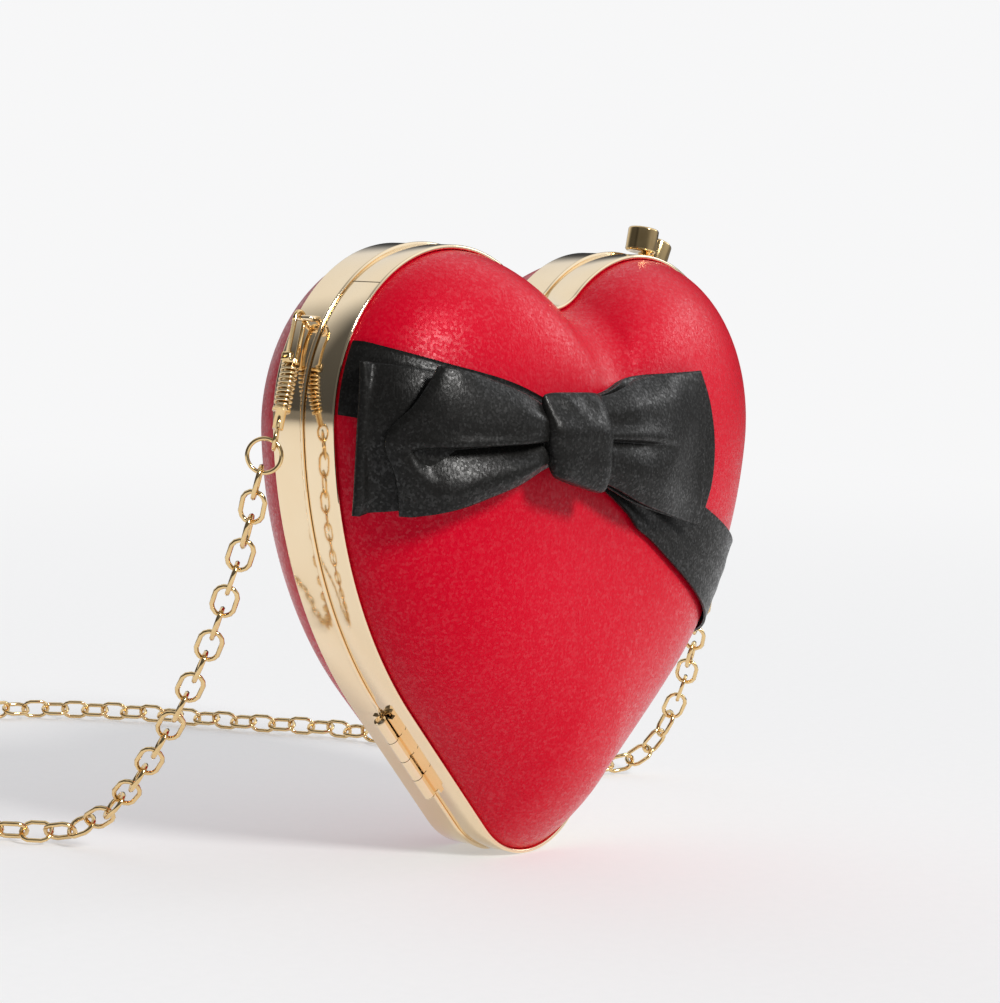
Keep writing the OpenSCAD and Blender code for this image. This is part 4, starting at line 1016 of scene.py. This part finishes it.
paper, start, place = finish_of("pale floor")
fleck = place.noise(300.0, 2.0)
matt = start.node("BsdfPrincipled", {}, {
    "Base Color": fleck.mixed((0.85, 0.85, 0.855, 1), (0.89, 0.89, 0.895, 1)),
    "Roughness": 0.8, "Specular IOR Level": 0.2})
far_off = start.node("VectorMath", {"operation": "LENGTH"}, {0: place}, "Value")
seen = start.node("LightPath", {}, {}, "Is Camera Ray")
beyond = eased(far_off, 0.4, 1.5, 0.0, 0.8)
pale = start.node("Emission", {}, {"Color": (beyond * (1 - seen)).mixed(paper_white, lights_out)})
# The floor partly glows an even pale white. Far out it glows wholly, as the backdrop. Near the
# purse 40 per cent of it glows, and there the glow is painted light: it lightens the purse's cast
# shadow and the red light the purse throws on the floor. Seen in reflections, the far glow fades
# to a fifth.
painted_glow_share = eased(far_off, 0.25, 1.6, 0.40, 1.0)
blend = start.node("MixShader", {}, {0: painted_glow_share, 1: matt, 2: pale})
end = start.tree.nodes.new("ShaderNodeOutputMaterial")
start.tree.links.new(blend.socket, end.inputs["Surface"])
floor_mesh = bpy.data.meshes.new("floor")
floor_mesh.from_pydata([(floor_r * math.cos(2 * math.pi * i / floor_sides),
                         floor_r * math.sin(2 * math.pi * i / floor_sides), 0.0)
                        for i in range(floor_sides)], [], [tuple(range(floor_sides))])
floor_mesh.materials.append(paper)
floor = bpy.data.objects.new("floor", floor_mesh)
bpy.context.collection.objects.link(floor)

world = bpy.data.worlds.new("surround")
bpy.context.scene.world = world
world.use_nodes = True
world.node_tree.nodes.clear()
start = Feed(world.node_tree)
way = start.node("TexCoord", {}, {}, "Generated")


def zone(middle, low, high, most=1.0):
    """The part of the surround round this direction, fading out from high to low."""
    nearness = start.node("VectorMath", {"operation": "DOT_PRODUCT"}, {
        0: way, 1: middle}, "Value")
    return eased(nearness, low, high, 0.0, most)


dim_side = zone((-0.72, 0.64, 0.26), 0.64, 0.86)
dark_room = zone((-0.70, -0.62, 0.35), 0.4, 0.9)
above = eased(start.node("SeparateXYZ", {}, {0: way}, 2), 0.0, 0.8, 0.34, 0.50)
window = zone((0.62, -0.42, 0.66), 0.72, 0.97)
dark_right = zone((0.92, 0.39, 0.02), 0.78, 0.94, 0.92)
bright_back = zone((0.35, 0.75, 0.55), 0.6, 0.93)
room = (above * (1 - dim_side * 0.80) * (1 - dark_room * 0.7) * (1 - dark_right)
        + window * 0.6 + bright_back * (1 - dark_right) * 0.4)
seen = start.node("LightPath", {}, {}, "Is Camera Ray")
glow = start.node("Background", {}, {"Color": seen.mixed(lights_out, paper_white),
                                     "Strength": 1.0})
soft = start.node("Background", {}, {"Color": (0.95, 0.97, 1.0, 1),
                                     "Strength": room * (1 - seen)})
both = start.node("AddShader", {}, {0: glow, 1: soft})
end = start.tree.nodes.new("ShaderNodeOutputWorld")
start.tree.links.new(both.socket, end.inputs["Surface"])
bpy.context.scene.view_settings.view_transform = "Standard"

for sun_name, energy, spread, colour, shines_from in (
        ("key", 2.5, 13, (1.0, 0.985, 0.96), (-0.06, -0.82, 0.57)),
        ("strip", 0.25, 18, (1.0, 1.0, 1.0), (0.85, -0.33, 0.42))):
    light = bpy.data.lights.new(sun_name, "SUN")
    light.energy, light.angle, light.color = energy, math.radians(spread), colour
    sun = bpy.data.objects.new(sun_name, light)
    sun.rotation_euler = Vector(shines_from).to_track_quat("Z", "Y").to_euler()
    bpy.context.collection.objects.link(sun)
